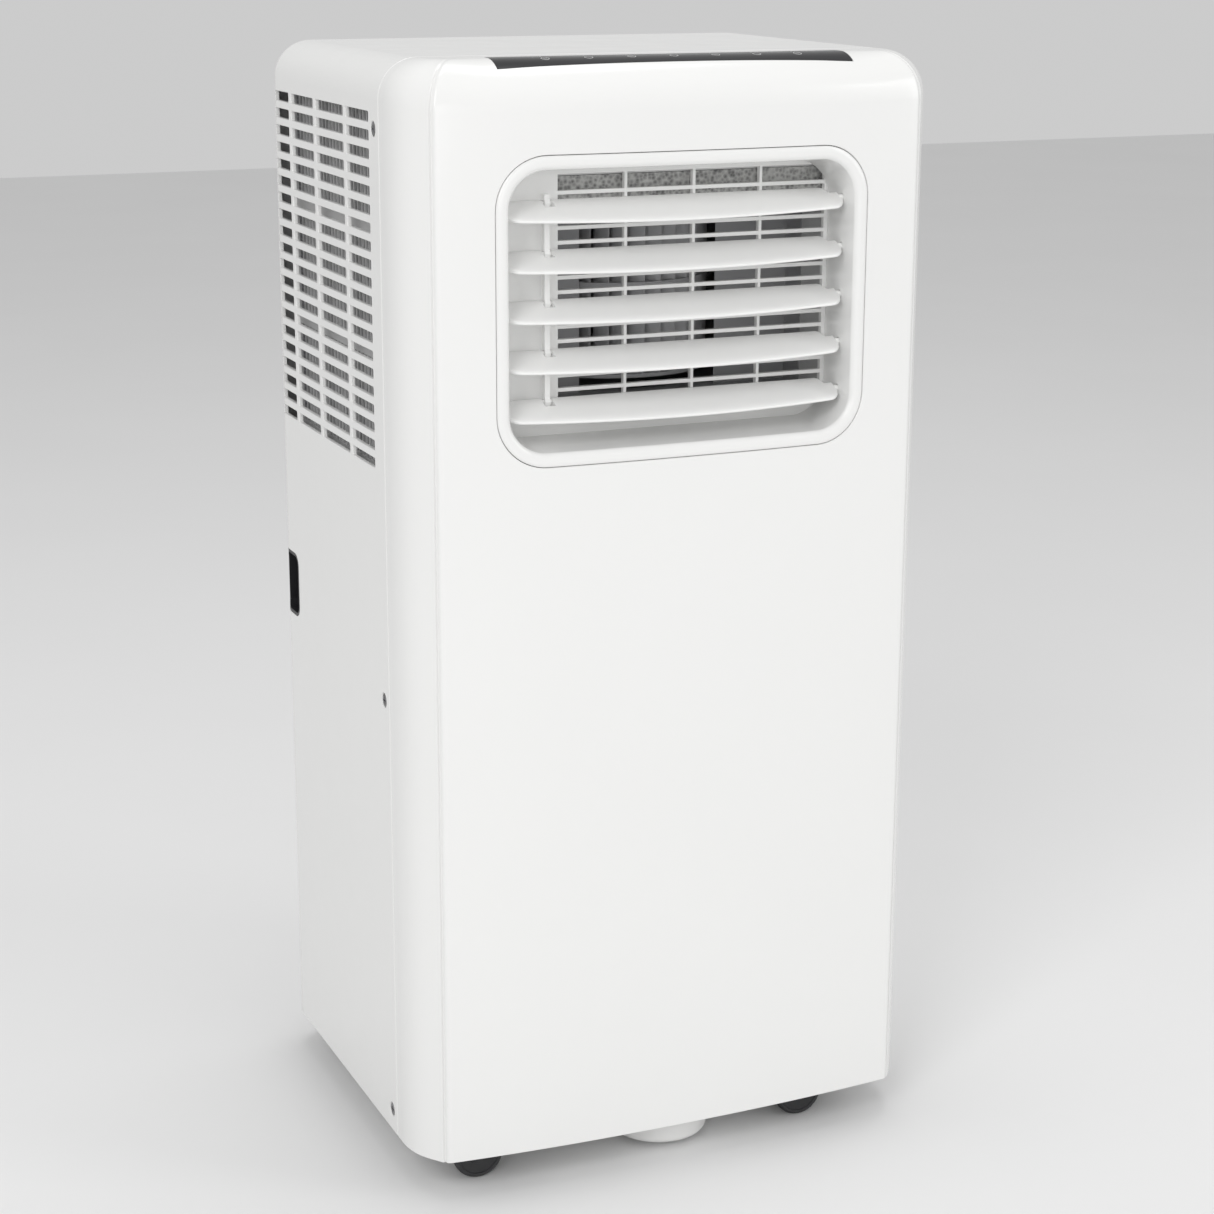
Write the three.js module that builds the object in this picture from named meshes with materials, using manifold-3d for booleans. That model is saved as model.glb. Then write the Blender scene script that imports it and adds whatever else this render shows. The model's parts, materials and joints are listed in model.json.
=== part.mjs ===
// Portable air conditioner, built as its maker would: a base pan on four casters carries the compressor,
// condenser and exhaust fan below a drain tray, and the evaporator and supply blower above it. A front
// shell and a rear shell close round them. Millimetres, +Z up, the front faces -Y, the origin is on the
// floor under the middle of the object.
import * as THREE from 'three';
import { mergeVertices, mergeGeometries } from 'three/addons/utils/BufferGeometryUtils.js';
import Module from 'manifold-3d';

const wasm = await Module();
wasm.setup();

// ---------- driving dimensions ----------
const GAP = 0.3;                 // clearance between touching pieces
const HALF_W = 165.5;            // half of the casing's width
const FRONT = -137.5;            // foremost line of the bowed front face
const REAR = 137.9;              // rear face
const BOTTOM = 25;               // lower edge of the casing
const TOP = 672;                 // flat top of the casing
const WALL = 2.5;                // moulded wall thickness
const FACE_HALF = 150;           // half-width of the raised front face
const FACE_SAG = 7.1;            // how far the face falls back at its side edges
const CORNER_R = 25;             // upright rear corners
const EDGE_R = 23;               // top edge rounding
const SEAM_Y = -84;              // plane where the front and rear shells meet

const VENT_Z = 533.6;            // centre height of the air outlet
const BEZEL_HALF_W = 115.5;
const BEZEL_HALF_H = 87;
const BEZEL_R = 30;
const OPEN_HALF_W = 107.5;
const OPEN_HALF_H = 79;
const OPEN_R = 22;
const GRID_Y = -99.5;            // front face of the fixed outlet grid
const GRID_LEFT = -66;
const GRID_RIGHT = 109;
const LOUVRES = 5;
const LOUVRE_PITCH = 28.2;
const LOUVRE_TOP_Z = 588.4;       // pivot height of the top louvre
const PIVOT_Y = -116.8;
const REST_TILT = 22;             // degrees, front edge down
const LINK_X = -76;
const LINK_ARM = 9.2;            // from a louvre's pivot to its link pin

const SLOT_ROWS = 20;
const SLOT_TOP_Z = 638.9;
const SLOT_PITCH = 10.364;
const SLOT_H = 5.7;
const SLOT_COLUMNS = [[-66.3, -24.3], [-19.9, 33.5], [37.9, 83.2], [87.8, 111]];

const STEM_X = 110;              // caster positions
const STEM_FRONT_Y = -100;
const STEM_REAR_Y = 100;
const TRAIL = 12;                // from a caster's stem to its axle
const WHEEL_R = 16;

const BLOWER = { x: 12, y: 12, z: 534, r: 64, halfH: 56 };
const EXHAUST = { x: 48, y: 10, z: 165, r: 58, halfD: 26 };
const COLLAR = { x: 0, z: 348, r: 75 };
const COMPRESSOR = { x: -96, y: -36, r: 53, z0: 54, z1: 262 };

// ---------- materials ----------
const paint = (color, roughness, metalness = 0) =>
  new THREE.MeshStandardMaterial({ color, roughness, metalness });
const WHITE = paint(0xf2f2f0, 0.32);
const LOUVRE_WHITE = paint(0xf8f8f6, 0.35);
const BLACK = paint(0x1c1c1e, 0.45);
const CHARCOAL = paint(0x2c2c2e, 0.25);
const GREY_PLASTIC = paint(0x5c5e61, 0.55);
const FOAM = paint(0x9a9a98, 0.95);
const ALUMINIUM = paint(0xc9ccd0, 0.4, 0.9);
const COPPER = paint(0xb8734a, 0.35, 0.95);
const STEEL = paint(0xa9adb2, 0.35, 0.95);
const RUBBER = paint(0x18181a, 0.8);
const BOARD = paint(0x1f5a3a, 0.5);

// ---------- solids ----------
function solid(geometry) {
  const bare = geometry.clone();
  bare.deleteAttribute('normal');
  bare.deleteAttribute('uv');
  const merged = mergeVertices(bare, 1e-3);
  return new wasm.Manifold(new wasm.Mesh({
    numProp: 3,
    vertProperties: new Float32Array(merged.attributes.position.array),
    triVerts: new Uint32Array(merged.index.array),
  }));
}

function geometryOf(manifold) {
  const mesh = manifold.getMesh();
  const geometry = new THREE.BufferGeometry();
  geometry.setAttribute('position', new THREE.BufferAttribute(new Float32Array(mesh.vertProperties), 3));
  geometry.setIndex(new THREE.BufferAttribute(new Uint32Array(mesh.triVerts), 1));
  return geometry;
}

const join = (...parts) => parts.reduce((whole, part) => whole.add(part));
const cut = (whole, ...parts) => parts.reduce((rest, part) => rest.subtract(part), whole);

function boxGeometry(low, high) {
  const size = high.map((value, axis) => value - low[axis]);
  const geometry = new THREE.BoxGeometry(...size);
  return geometry.translate(...low.map((value, axis) => value + size[axis] / 2));
}

const box = (low, high) => solid(boxGeometry(low, high));

// Many separate boxes as one cutter.
const boxes = (list) => solid(mergeGeometries(list.map(([low, high]) => boxGeometry(low, high))));

// A round bar along an axis ('x', 'y' or 'z') through a point, between two values on that axis.
function bar(axis, [a, b], radius, from, to, sides = 20) {
  const geometry = new THREE.CylinderGeometry(radius, radius, to - from, sides);
  const middle = (from + to) / 2;
  if (axis === 'z') return solid(geometry.rotateX(Math.PI / 2).translate(a, b, middle));
  if (axis === 'x') return solid(geometry.rotateZ(-Math.PI / 2).translate(middle, a, b));
  return solid(geometry.translate(a, middle, b));
}

function shapeOf(points) {
  return new THREE.Shape(points.map(([a, b]) => new THREE.Vector2(a, b)));
}

// An outline in XY, raised from z0 to z1.
function prismZ(points, z0, z1, holes = []) {
  const shape = shapeOf(points);
  shape.holes = holes.map((hole) => shapeOf(hole));
  return solid(new THREE.ExtrudeGeometry(shape, { depth: z1 - z0, bevelEnabled: false }).translate(0, 0, z0));
}

// An outline in XZ, carried from y0 to y1.
function prismY(points, y0, y1, holes = []) {
  const shape = shapeOf(points);
  shape.holes = holes.map((hole) => shapeOf(hole));
  const geometry = new THREE.ExtrudeGeometry(shape, { depth: y1 - y0, bevelEnabled: false });
  return solid(geometry.rotateX(Math.PI / 2).translate(0, y1, 0));
}

// An outline in YZ, carried from x0 to x1.
function prismX(points, x0, x1) {
  const geometry = new THREE.ExtrudeGeometry(shapeOf(points), { depth: x1 - x0, bevelEnabled: false });
  const turn = new THREE.Matrix4().set(0, 0, 1, x0, 1, 0, 0, 0, 0, 1, 0, 0, 0, 0, 0, 1);
  return solid(geometry.applyMatrix4(turn));
}

function roundedRect(halfW, halfH, radius, steps = 6, centre = [0, 0], topStops = []) {
  const points = [];
  for (let corner = 0; corner < 4; corner += 1) {
    const sx = corner === 0 || corner === 3 ? 1 : -1;
    const sy = corner < 2 ? 1 : -1;
    for (let step = 0; step <= steps; step += 1) {
      const angle = (corner + step / steps) * Math.PI / 2;
      points.push([
        centre[0] + sx * (halfW - radius) + radius * Math.cos(angle),
        centre[1] + sy * (halfH - radius) + radius * Math.sin(angle),
      ]);
    }
    if (corner === 0) topStops.forEach((x) => points.push([centre[0] + x, centre[1] + halfH]));
    if (corner === 2) topStops.forEach((x) => points.push([centre[0] - x, centre[1] - halfH]));
  }
  return points;
}

const rectangle = (x0, x1, y0, y1) => [[x0, y0], [x1, y0], [x1, y1], [x0, y1]];

function circle(radius, sides = 32, centre = [0, 0]) {
  return Array.from({ length: sides }, (_, k) => {
    const angle = (k / sides) * 2 * Math.PI;
    return [centre[0] + radius * Math.cos(angle), centre[1] + radius * Math.sin(angle)];
  });
}

// Rings of equal length, skinned from the first to the last and closed at both ends by a fan.
function loft(rings) {
  const count = rings[0].length;
  const positions = rings.flat(2);
  const index = [];
  for (let i = 0; i + 1 < rings.length; i += 1) {
    for (let j = 0; j < count; j += 1) {
      const next = (j + 1) % count;
      const a = i * count + j;
      const b = i * count + next;
      index.push(a, b, b + count, a, b + count, a + count);
    }
  }
  const addCap = (ring, start, flip) => {
    const centre = ring.reduce((sum, p) => sum.map((v, k) => v + p[k] / count), [0, 0, 0]);
    const hub = positions.length / 3;
    positions.push(...centre);
    for (let j = 0; j < count; j += 1) {
      const pair = [start + j, start + (j + 1) % count];
      index.push(hub, ...(flip ? pair.reverse() : pair));
    }
  };
  addCap(rings[0], 0, true);
  addCap(rings[rings.length - 1], (rings.length - 1) * count, false);
  const geometry = new THREE.BufferGeometry();
  geometry.setAttribute('position', new THREE.BufferAttribute(new Float32Array(positions), 3));
  geometry.setIndex(index);
  return solid(geometry);
}

// A ring-shaped solid: closed sections (lists of points) set one after another round a closed path.
function sweptRing(sections) {
  const count = sections[0].length;
  const index = [];
  sections.forEach((_, i) => {
    const start = i * count;
    const following = ((i + 1) % sections.length) * count;
    for (let j = 0; j < count; j += 1) {
      const next = (j + 1) % count;
      index.push(start + j, start + next, following + next, start + j, following + next, following + j);
    }
  });
  const geometry = new THREE.BufferGeometry();
  geometry.setAttribute('position', new THREE.BufferAttribute(new Float32Array(sections.flat(2)), 3));
  geometry.setIndex(index);
  return solid(geometry);
}

function lathe(profile, sides = 32) {
  const geometry = new THREE.LatheGeometry(profile.map(([r, z]) => new THREE.Vector2(r, z)), sides);
  return solid(geometry.rotateX(Math.PI / 2));
}

// A pipe along a smooth line through hand-placed points.
function pipe(points, radius, steps, sides = 8) {
  const path = new THREE.CatmullRomCurve3(points.map((p) => new THREE.Vector3(...p)), false, 'centripetal');
  const section = shapeOf(circle(radius, sides));
  return solid(new THREE.ExtrudeGeometry(section, { steps, bevelEnabled: false, extrudePath: path }));
}

const model = new THREE.Group();

function piece(name, manifold, material, position = [0, 0, 0]) {
  const mesh = new THREE.Mesh(geometryOf(manifold), material);
  mesh.name = name;
  mesh.position.set(...position);
  model.add(mesh);
}

// ---------- casing outline ----------
const faceY = (x) => FRONT + FACE_SAG * (Math.abs(x) / FACE_HALF) ** 2.2;

// Right half of the plan, front centre to rear centre: x, y, outward direction (degrees) and
// the direction in which the point moves in as the top edge rounds over.
const BEVEL_STEPS = 5;
const CORNER_STEPS = 5;
function halfPlan(withGroove) {
  const points = [];
  for (const x of [0, 40, 75, 105, 126, 141]) {
    points.push({ x, y: faceY(x), out: -90, lean: -90 + 42 * Math.max(0, (x - 100) / 50) });
  }
  if (withGroove) {
    points.push({ x: FACE_HALF - 0.2, y: faceY(FACE_HALF), out: -90, lean: -48 });
    points.push({ x: FACE_HALF + 0.1, y: faceY(FACE_HALF) + 2.4, out: -60, lean: -48 });
    points.push({ x: FACE_HALF + 1, y: faceY(FACE_HALF) + 2.5, out: -60, lean: -48 });
  }
  const from = [FACE_HALF + 1.5, faceY(FACE_HALF) + 2.1];
  const to = [HALF_W, -92];
  const bevel = new THREE.CubicBezierCurve(
    new THREE.Vector2(...from), new THREE.Vector2(158, -119),
    new THREE.Vector2(HALF_W, -113), new THREE.Vector2(...to),
  );
  for (let step = 0; step <= BEVEL_STEPS; step += 1) {
    const t = step / BEVEL_STEPS;
    const at = bevel.getPoint(t);
    const along = bevel.getTangent(t);
    const out = THREE.MathUtils.radToDeg(Math.atan2(-along.x, along.y));
    points.push({ x: at.x, y: at.y, out, lean: -48 * (1 - t) });
  }
  for (let step = 0; step <= CORNER_STEPS; step += 1) {
    const angle = (90 * step) / CORNER_STEPS;
    const radians = THREE.MathUtils.degToRad(angle);
    points.push({
      x: HALF_W - CORNER_R + CORNER_R * Math.cos(radians),
      y: REAR - CORNER_R + CORNER_R * Math.sin(radians),
      out: angle,
      lean: angle,
    });
  }
  return points;
}

function fullPlan(withGroove) {
  const right = halfPlan(withGroove);
  const left = right.slice(1).reverse().map((p) => ({
    x: -p.x, y: p.y, out: 180 - p.out, lean: 180 - p.lean,
  }));
  return [...right, ...left];
}

function casing(inset, withGroove, z0) {
  const plan = fullPlan(withGroove).map((p) => {
    const out = THREE.MathUtils.degToRad(p.out);
    const lean = THREE.MathUtils.degToRad(p.lean);
    const round = EDGE_R + 5 * Math.max(0, -Math.sin(lean)) - inset;
    return {
      x: p.x - inset * Math.cos(out), y: p.y - inset * Math.sin(out),
      leanX: Math.cos(lean), leanY: Math.sin(lean), round,
    };
  });
  const rings = [plan.map((p) => [p.x, p.y, z0])];
  for (const degrees of [0, 30, 60, 90]) {
    const angle = THREE.MathUtils.degToRad(degrees);
    const inward = 1 - Math.cos(angle);
    rings.push(plan.map((p) => [
      p.x - p.leanX * p.round * inward,
      p.y - p.leanY * p.round * inward,
      TOP - inset - p.round * (1 - Math.sin(angle)),
    ]));
  }
  return loft(rings);
}

const outerCasing = casing(0, true, BOTTOM);
const hollowCasing = casing(WALL, false, BOTTOM - 5).intersect(box([-200, -200, 0], [200, 200, TOP - WALL]));
const skin = outerCasing.subtract(hollowCasing);
const aheadOfSeam = box([-200, -200, 0], [200, SEAM_Y - GAP / 2, 700]);
const behindSeam = box([-200, SEAM_Y + GAP / 2, 0], [200, 200, 700]);

// ---------- front shell ----------
const SCREW_Y = -74;
const SCREW_HEIGHTS = [632.7, 301.3, 38.3];
const STRIP_HALF_W = 109.5;
const STRIP_FRONT = -122;
const STRIP_BACK = -100;
const STRIP_DEPTH = 1.1;

function screwTab(side, z) {
  const inner = HALF_W - WALL - 3.4;
  const outer = HALF_W - WALL - GAP;
  const reach = [[inner, -97], [outer, -66]];
  const root = [[inner, -97], [HALF_W - 1.2, SEAM_Y - 1]];
  const [tab, rooted] = [reach, root].map(([[x0, y0], [x1, y1]]) => box(
    [Math.min(side * x0, side * x1), y0, z - 7], [Math.max(side * x0, side * x1), y1, z + 7],
  ));
  const hole = bar('x', [SCREW_Y, z], 2, side * 162 - 8, side * 162 + 8, 8);
  return tab.add(rooted.intersect(outerCasing)).subtract(hole);
}

const ventOutline = roundedRect(BEZEL_HALF_W + GAP, BEZEL_HALF_H + GAP, BEZEL_R, 6, [0, VENT_Z]);
const ventHole = prismY(ventOutline, -150, -100);
// The control strip's own block, which follows the top edge's rounding down towards the front.
function stripBlock(margin, depth) {
  const block = box([-STRIP_HALF_W - margin, STRIP_FRONT - margin, TOP - 12],
    [STRIP_HALF_W + margin, STRIP_BACK + margin, TOP + 5]);
  return block.subtract(casing(depth, false, BOTTOM - 5));
}
const stripPocket = stripBlock(GAP, STRIP_DEPTH + GAP);
const stripWindow = box([-70, -117, TOP - 10], [70, -104, TOP + 5]);
let frontShell = cut(skin.intersect(aheadOfSeam), ventHole, stripPocket, stripWindow);
for (const side of [-1, 1]) {
  for (const z of SCREW_HEIGHTS) frontShell = frontShell.add(screwTab(side, z));
}
piece('front_shell', frontShell, WHITE);

// ---------- rear shell ----------
const REAR_GRILLE = { halfW: 104, z0: 452, z1: 640 };
const LOWER_GRILLE = { halfW: 128, z0: 62, z1: 250 };
const CUP = { y0: 94, y1: 124, z0: 308, z1: 350, depth: 22 };
const DRAINS = { drain_cap_lower: { x: 0, z: 44 }, drain_cap_upper: { x: 118, z: 280 } };
const DRAIN_HOLE_R = 11;
const GLAND = { x: -118, z: 280 };

const gridSlots = [];
for (let row = 0; row < SLOT_ROWS; row += 1) {
  const z = SLOT_TOP_Z - row * SLOT_PITCH;
  for (const [y0, y1] of SLOT_COLUMNS) {
    gridSlots.push([[HALF_W - 17, y0, z - SLOT_H / 2], [HALF_W + 5, y1, z + SLOT_H / 2]]);
    gridSlots.push([[-HALF_W - 5, y0, z - SLOT_H / 2], [-HALF_W + 17, y1, z + SLOT_H / 2]]);
  }
}
function cupHole(side) {
  const [x0, x1] = [side * (HALF_W - 30), side * (HALF_W + 5)].sort((a, b) => a - b);
  return box([x0, CUP.y0, CUP.z0], [x1, CUP.y1, CUP.z1]);
}
let rearShell = cut(
  skin.intersect(behindSeam),
  boxes(gridSlots),
  prismY(rectangle(-REAR_GRILLE.halfW, REAR_GRILLE.halfW, REAR_GRILLE.z0, REAR_GRILLE.z1), 120, 150),
  prismY(rectangle(-LOWER_GRILLE.halfW, LOWER_GRILLE.halfW, LOWER_GRILLE.z0, LOWER_GRILLE.z1), 120, 150),
  prismY(circle(COLLAR.r + 4, 28, [COLLAR.x, COLLAR.z]), 120, 150),
  prismY(circle(9, 16, [GLAND.x, GLAND.z]), 120, 150),
  cupHole(1), cupHole(-1),
);
const drainHoles = Object.values(DRAINS).map(({ x, z }) => bar('y', [x, z], DRAIN_HOLE_R, 120, 150, 12));
rearShell = cut(rearShell, ...drainHoles);
for (const side of [-1, 1]) {
  for (const z of SCREW_HEIGHTS) {
    const face = side * HALF_W;
    const seat = side > 0 ? [face - 1.5, face + 3] : [face - 3, face + 1.5];
    rearShell = cut(rearShell, bar('x', [SCREW_Y, z], 4.5, seat[0], seat[1], 12),
      bar('x', [SCREW_Y, z], 2, face - 6, face + 6, 8));
  }
}
piece('rear_shell', rearShell, WHITE);

// Countersunk casing screws, three a side, through the rear shell into the front shell's tabs.
for (const [side, label] of [[-1, 'left'], [1, 'right']]) {
  SCREW_HEIGHTS.forEach((z, k) => {
    const profile = [[0, 0], [4, 0], [4, -0.9], [1.7, -1.2], [1.7, -12], [0, -13.5]];
    const screw = lathe(profile.reverse(), 8).rotate([0, side * 90, 0])
      .translate([side * (HALF_W - 0.25), SCREW_Y, z]);
    piece(`screw_${label}_${k + 1}`, screw, STEEL);
  });
}

// ---------- air outlet: bezel, grid, louvres and their link ----------
const BOW_STOPS = [58, 30, 0, -30, -58];
function bezel() {
  const front = roundedRect(BEZEL_HALF_W, BEZEL_HALF_H, BEZEL_R, 5, [0, 0], BOW_STOPS);
  const sections = front.map((_, k) => {
    const rim = (halfW, halfH, radius) => roundedRect(halfW, halfH, radius, 5, [0, 0], BOW_STOPS)[k];
    const at = ([x, z], y) => [x, y, z + VENT_Z];
    const outer = rim(BEZEL_HALF_W, BEZEL_HALF_H, BEZEL_R);
    const crown = rim(BEZEL_HALF_W - 3, BEZEL_HALF_H - 3, BEZEL_R - 3);
    const lip = rim(BEZEL_HALF_W - 7, BEZEL_HALF_H - 7, BEZEL_R - 7);
    const mouth = rim(OPEN_HALF_W, OPEN_HALF_H, OPEN_R);
    const back = rim(OPEN_HALF_W, OPEN_HALF_H - 3, OPEN_R);
    const backOut = rim(OPEN_HALF_W + 2.4, OPEN_HALF_H - 0.6, OPEN_R + 1);
    const neck = rim(OPEN_HALF_W + 2.4, OPEN_HALF_H + 2.4, OPEN_R + 1);
    const wallY = GRID_Y - GAP;
    return [
      at(outer, faceY(outer[0]) + 0.6), at(crown, faceY(crown[0]) - 0.4), at(lip, faceY(lip[0]) + 0.4),
      at(mouth, faceY(mouth[0]) + 2.4), at(back, wallY), at(backOut, wallY),
      at(neck, faceY(neck[0]) + 6.5), at(outer, faceY(outer[0]) + 6),
    ];
  });
  return sweptRing(sections.map((ring) => [...ring].reverse()));
}

let ventBezel = bezel();
const louvreZ = Array.from({ length: LOUVRES }, (_, k) => LOUVRE_TOP_Z - k * LOUVRE_PITCH);
for (const z of louvreZ) ventBezel = ventBezel.subtract(bar('x', [PIVOT_Y, z], 2.4, -120, 120, 8));
piece('vent_bezel', ventBezel, WHITE);

// The fixed grid fills the mouth of the duct. Its left end is a blind wall behind the link bar.
function outletGrid() {
  const outline = roundedRect(OPEN_HALF_W + 2, OPEN_HALF_H - 1, OPEN_R, 6, [0, VENT_Z]);
  const plate = prismY(outline, GRID_Y, GRID_Y + 3.5);
  const windows = [];
  const columns = 4;
  const pitch = (GRID_RIGHT - 3 - GRID_LEFT) / columns;
  const high = VENT_Z + OPEN_HALF_H - 6;
  const edges = [high];
  for (const z of louvreZ) edges.push(z + 7.8, z - 12.1);
  for (let column = 0; column < columns; column += 1) {
    const x0 = GRID_LEFT + column * pitch + 0.9;
    for (let k = 0; k + 1 < edges.length; k += 1) {
      const z1 = edges[k] - (k === 0 ? 0 : 1.1);
      const z0 = edges[k + 1] + 1.1;
      if (z1 - z0 > 2.5) windows.push([[x0, GRID_Y - 2, z0], [x0 + pitch - 1.8, GRID_Y + 9, z1]]);
    }
  }
  return plate.subtract(boxes(windows));
}
piece('outlet_grid', outletGrid(), LOUVRE_WHITE);

// One louvre, flat, with its pivot at the origin: a bowed blade with rounded front corners, two end
// pivots, and a notch at the rear left that a link pin crosses.
function louvre() {
  const halfW = 105.6;
  const frontY = (x) => -17 + 6 * (Math.abs(x) / halfW) ** 2;
  const outline = [];
  for (const x of [-99, -80, -50, -20, 20, 50, 80, 99]) outline.push([x, frontY(x)]);
  outline.push([104, -8.5], [halfW, -4], [halfW, 4], [101, 5.5], [93, 12], [-93, 12], [-101, 5.5]);
  outline.push([-halfW, 4], [-halfW, -4], [-104, -8.5]);
  const blade = prismZ(outline, -1.4, 1.4);
  const notch = box([LINK_X - 3.2, LINK_ARM - 7.2, -4], [LINK_X + 3.2, 14, 4]);
  const spine = bar('x', [0, 0], 2, -110, 110, 8);
  const trimmed = cut(blade, notch).add(spine.subtract(box([-103, -5, -5], [103, 5, 5])));
  return trimmed.add(bar('x', [LINK_ARM, 0], 1.2, LINK_X - 4.5, LINK_X + 4.5, 6));
}
const flatLouvre = louvre();
louvreZ.forEach((z, k) => {
  piece(`louvre_${k + 1}`, flatLouvre.rotate([REST_TILT, 0, 0]), LOUVRE_WHITE, [0, PIVOT_Y, z]);
});

function linkBar() {
  const tilt = THREE.MathUtils.degToRad(REST_TILT);
  const y = PIVOT_Y + LINK_ARM * Math.cos(tilt);
  const lift = LINK_ARM * Math.sin(tilt);
  const top = LOUVRE_TOP_Z + lift + 5;
  const bottom = louvreZ[LOUVRES - 1] + lift - 5;
  const strip = box([LINK_X - 1.6, y - 2, bottom], [LINK_X + 1.6, y + 2, top]);
  const eyes = louvreZ.map((z) => bar('x', [y, z + lift], 3.1, LINK_X - 1.6, LINK_X + 1.6, 8));
  const holes = louvreZ.map((z) => bar('x', [y, z + lift], 1.7, LINK_X - 5, LINK_X + 5, 8));
  return cut(join(strip, ...eyes), ...holes);
}
piece('link_bar', linkBar(), LOUVRE_WHITE);

// ---------- control strip ----------
const strip = stripBlock(0, STRIP_DEPTH).intersect(casing(0.1, false, BOTTOM));
piece('control_panel', strip, CHARCOAL);
piece('display_board', box([-66, -116, TOP - 7.6], [66, -105, TOP - 5.2]), BOARD);

// ---------- outlet duct and its foam ----------
const DUCT = { x0: -68, x1: 110, z0: 460, z1: 607, y0: GRID_Y + 4, y1: -66 };
const ductOutline = rectangle(DUCT.x0, DUCT.x1, DUCT.z0, DUCT.z1);
const ductBore = rectangle(DUCT.x0 + 1.6, DUCT.x1 - 1.6, DUCT.z0 + 1.6, DUCT.z1 - 1.6);
piece('outlet_duct', prismY(ductOutline, DUCT.y0, DUCT.y1, [ductBore]), GREY_PLASTIC);
const FOAM_T = 15;
const foamLow = [DUCT.x0 + 2, DUCT.y0 + 1, DUCT.z1 - 2 - FOAM_T];
piece('foam_liner', box(foamLow, [DUCT.x1 - 2, DUCT.y1 - 2, DUCT.z1 - 2]), FOAM);

// ---------- blower wheels and scrolls ----------
// A drum of forward-curved blades on its axis: a back plate with a hub, a mid ring and an end ring.
function blowerWheel(radius, halfHeight, bladeCount, hubBore) {
  const inner = radius - 13;
  const lean = 9 / radius;
  const blades = Array.from({ length: bladeCount }, (_, k) => {
    const start = (k / bladeCount) * 2 * Math.PI;
    const [r0, r1] = [inner + 0.8, radius - 0.8];
    const corner = (r, angle) => [r * Math.cos(angle), r * Math.sin(angle)];
    return prismZ([corner(r0, start), corner(r1, start + lean), corner(r1, start + lean + 1.6 / r1),
      corner(r0, start + 1.6 / r0)], -halfHeight + 1, halfHeight - 1);
  });
  const ring = (z0, z1) => prismZ(circle(radius, 24), z0, z1, [circle(inner, 24)]);
  const plate = prismZ(circle(radius, 24), -halfHeight, -halfHeight + 2.2);
  const hub = bar('z', [0, 0], 12, -halfHeight, -halfHeight + 26, 12);
  const drum = join(plate, ring(-1.6, 1.6), ring(halfHeight - 3, halfHeight), hub, ...blades);
  return drum.subtract(bar('z', [0, 0], hubBore, -halfHeight - 5, -halfHeight + 22, 10));
}

// A scroll seen along its axis: a spiral whose wall moves away from the tongue, joined to its outlet.
function spiral(tongueR, growth, startDegrees, centre, steps = 24) {
  return Array.from({ length: steps }, (_, k) => {
    const angle = THREE.MathUtils.degToRad(startDegrees + (360 * k) / steps);
    const r = tongueR + (growth * k) / (steps - 1);
    return [centre[0] + r * Math.cos(angle), centre[1] + r * Math.sin(angle)];
  });
}

// Supply blower: upright axis, its scroll opens forward into the outlet duct.
const SHEET = 2;
piece('supply_blower_wheel', blowerWheel(BLOWER.r, BLOWER.halfH, 18, 4.3).rotate([180, 0, 0]),
  GREY_PLASTIC, [BLOWER.x, BLOWER.y, BLOWER.z]);

function supplyScroll() {
  const centre = [BLOWER.x, BLOWER.y];
  const z0 = BLOWER.z - 66;
  const z1 = BLOWER.z + 62;
  const mouthY = DUCT.y1 + GAP;
  const outside = join(prismZ(spiral(BLOWER.r + 8, 18, 200, centre), z0, z1),
    box([DUCT.x0, mouthY, z0], [DUCT.x1, -44, z1]));
  const inside = join(prismZ(spiral(BLOWER.r + 6, 18, 200, centre), z0 + SHEET, z1 - SHEET),
    box([DUCT.x0 + SHEET, mouthY - 5, z0 + SHEET], [DUCT.x1 - SHEET, -44 - SHEET, z1 - SHEET]));
  const inlet = bar('z', centre, BLOWER.r - 10, z0 - 5, z0 + 5, 24);
  const shaftHole = bar('z', centre, 10, z1 - 5, z1 + 5, 20);
  return cut(outside, inside, inlet, shaftHole);
}
piece('supply_scroll', supplyScroll(), GREY_PLASTIC);

function motor(radius, length, shaftR, shaftLength) {
  return lathe([[0, 0], [radius - 4, 0], [radius, 4], [radius, length - 4], [radius - 4, length],
    [9, length], [9, length + 3], [shaftR, length + 3], [shaftR, length + shaftLength],
    [0, length + shaftLength]], 16);
}
const SUPPLY_MOTOR_Z = BLOWER.z + 62 + GAP + 38;
piece('supply_motor', motor(36, 38, 4, 20).rotate([180, 0, 0]), STEEL, [BLOWER.x, BLOWER.y, SUPPLY_MOTOR_Z]);

// Exhaust blower: level axis, air in from the condenser behind it, out upwards into the exhaust duct.
const SCROLL_TOP = 262;
piece('exhaust_blower_wheel', blowerWheel(EXHAUST.r, EXHAUST.halfD, 16, 4.3).rotate([-90, 0, 0]),
  GREY_PLASTIC, [EXHAUST.x, EXHAUST.y, EXHAUST.z]);

function exhaustScroll() {
  const centre = [EXHAUST.x, EXHAUST.z];
  const y0 = EXHAUST.y - EXHAUST.halfD - 5;
  const y1 = EXHAUST.y + EXHAUST.halfD + 5;
  const [x0, x1] = [-34, 30];
  const outside = join(prismY(spiral(EXHAUST.r + 8, 15, -90, centre), y0, y1),
    box([x0, y0, EXHAUST.z + 20], [x1, y1, SCROLL_TOP]));
  const inside = join(prismY(spiral(EXHAUST.r + 6, 15, -90, centre), y0 + SHEET, y1 - SHEET),
    box([x0 + SHEET, y0 + SHEET, EXHAUST.z + 20], [x1 - SHEET, y1 - SHEET, SCROLL_TOP + 5]));
  const inlet = bar('y', centre, EXHAUST.r - 10, y1 - 5, y1 + 5, 24);
  const shaftHole = bar('y', centre, 10, y0 - 5, y0 + 5, 20);
  return cut(outside, inside, inlet, shaftHole);
}
piece('exhaust_scroll', exhaustScroll(), GREY_PLASTIC);
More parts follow.
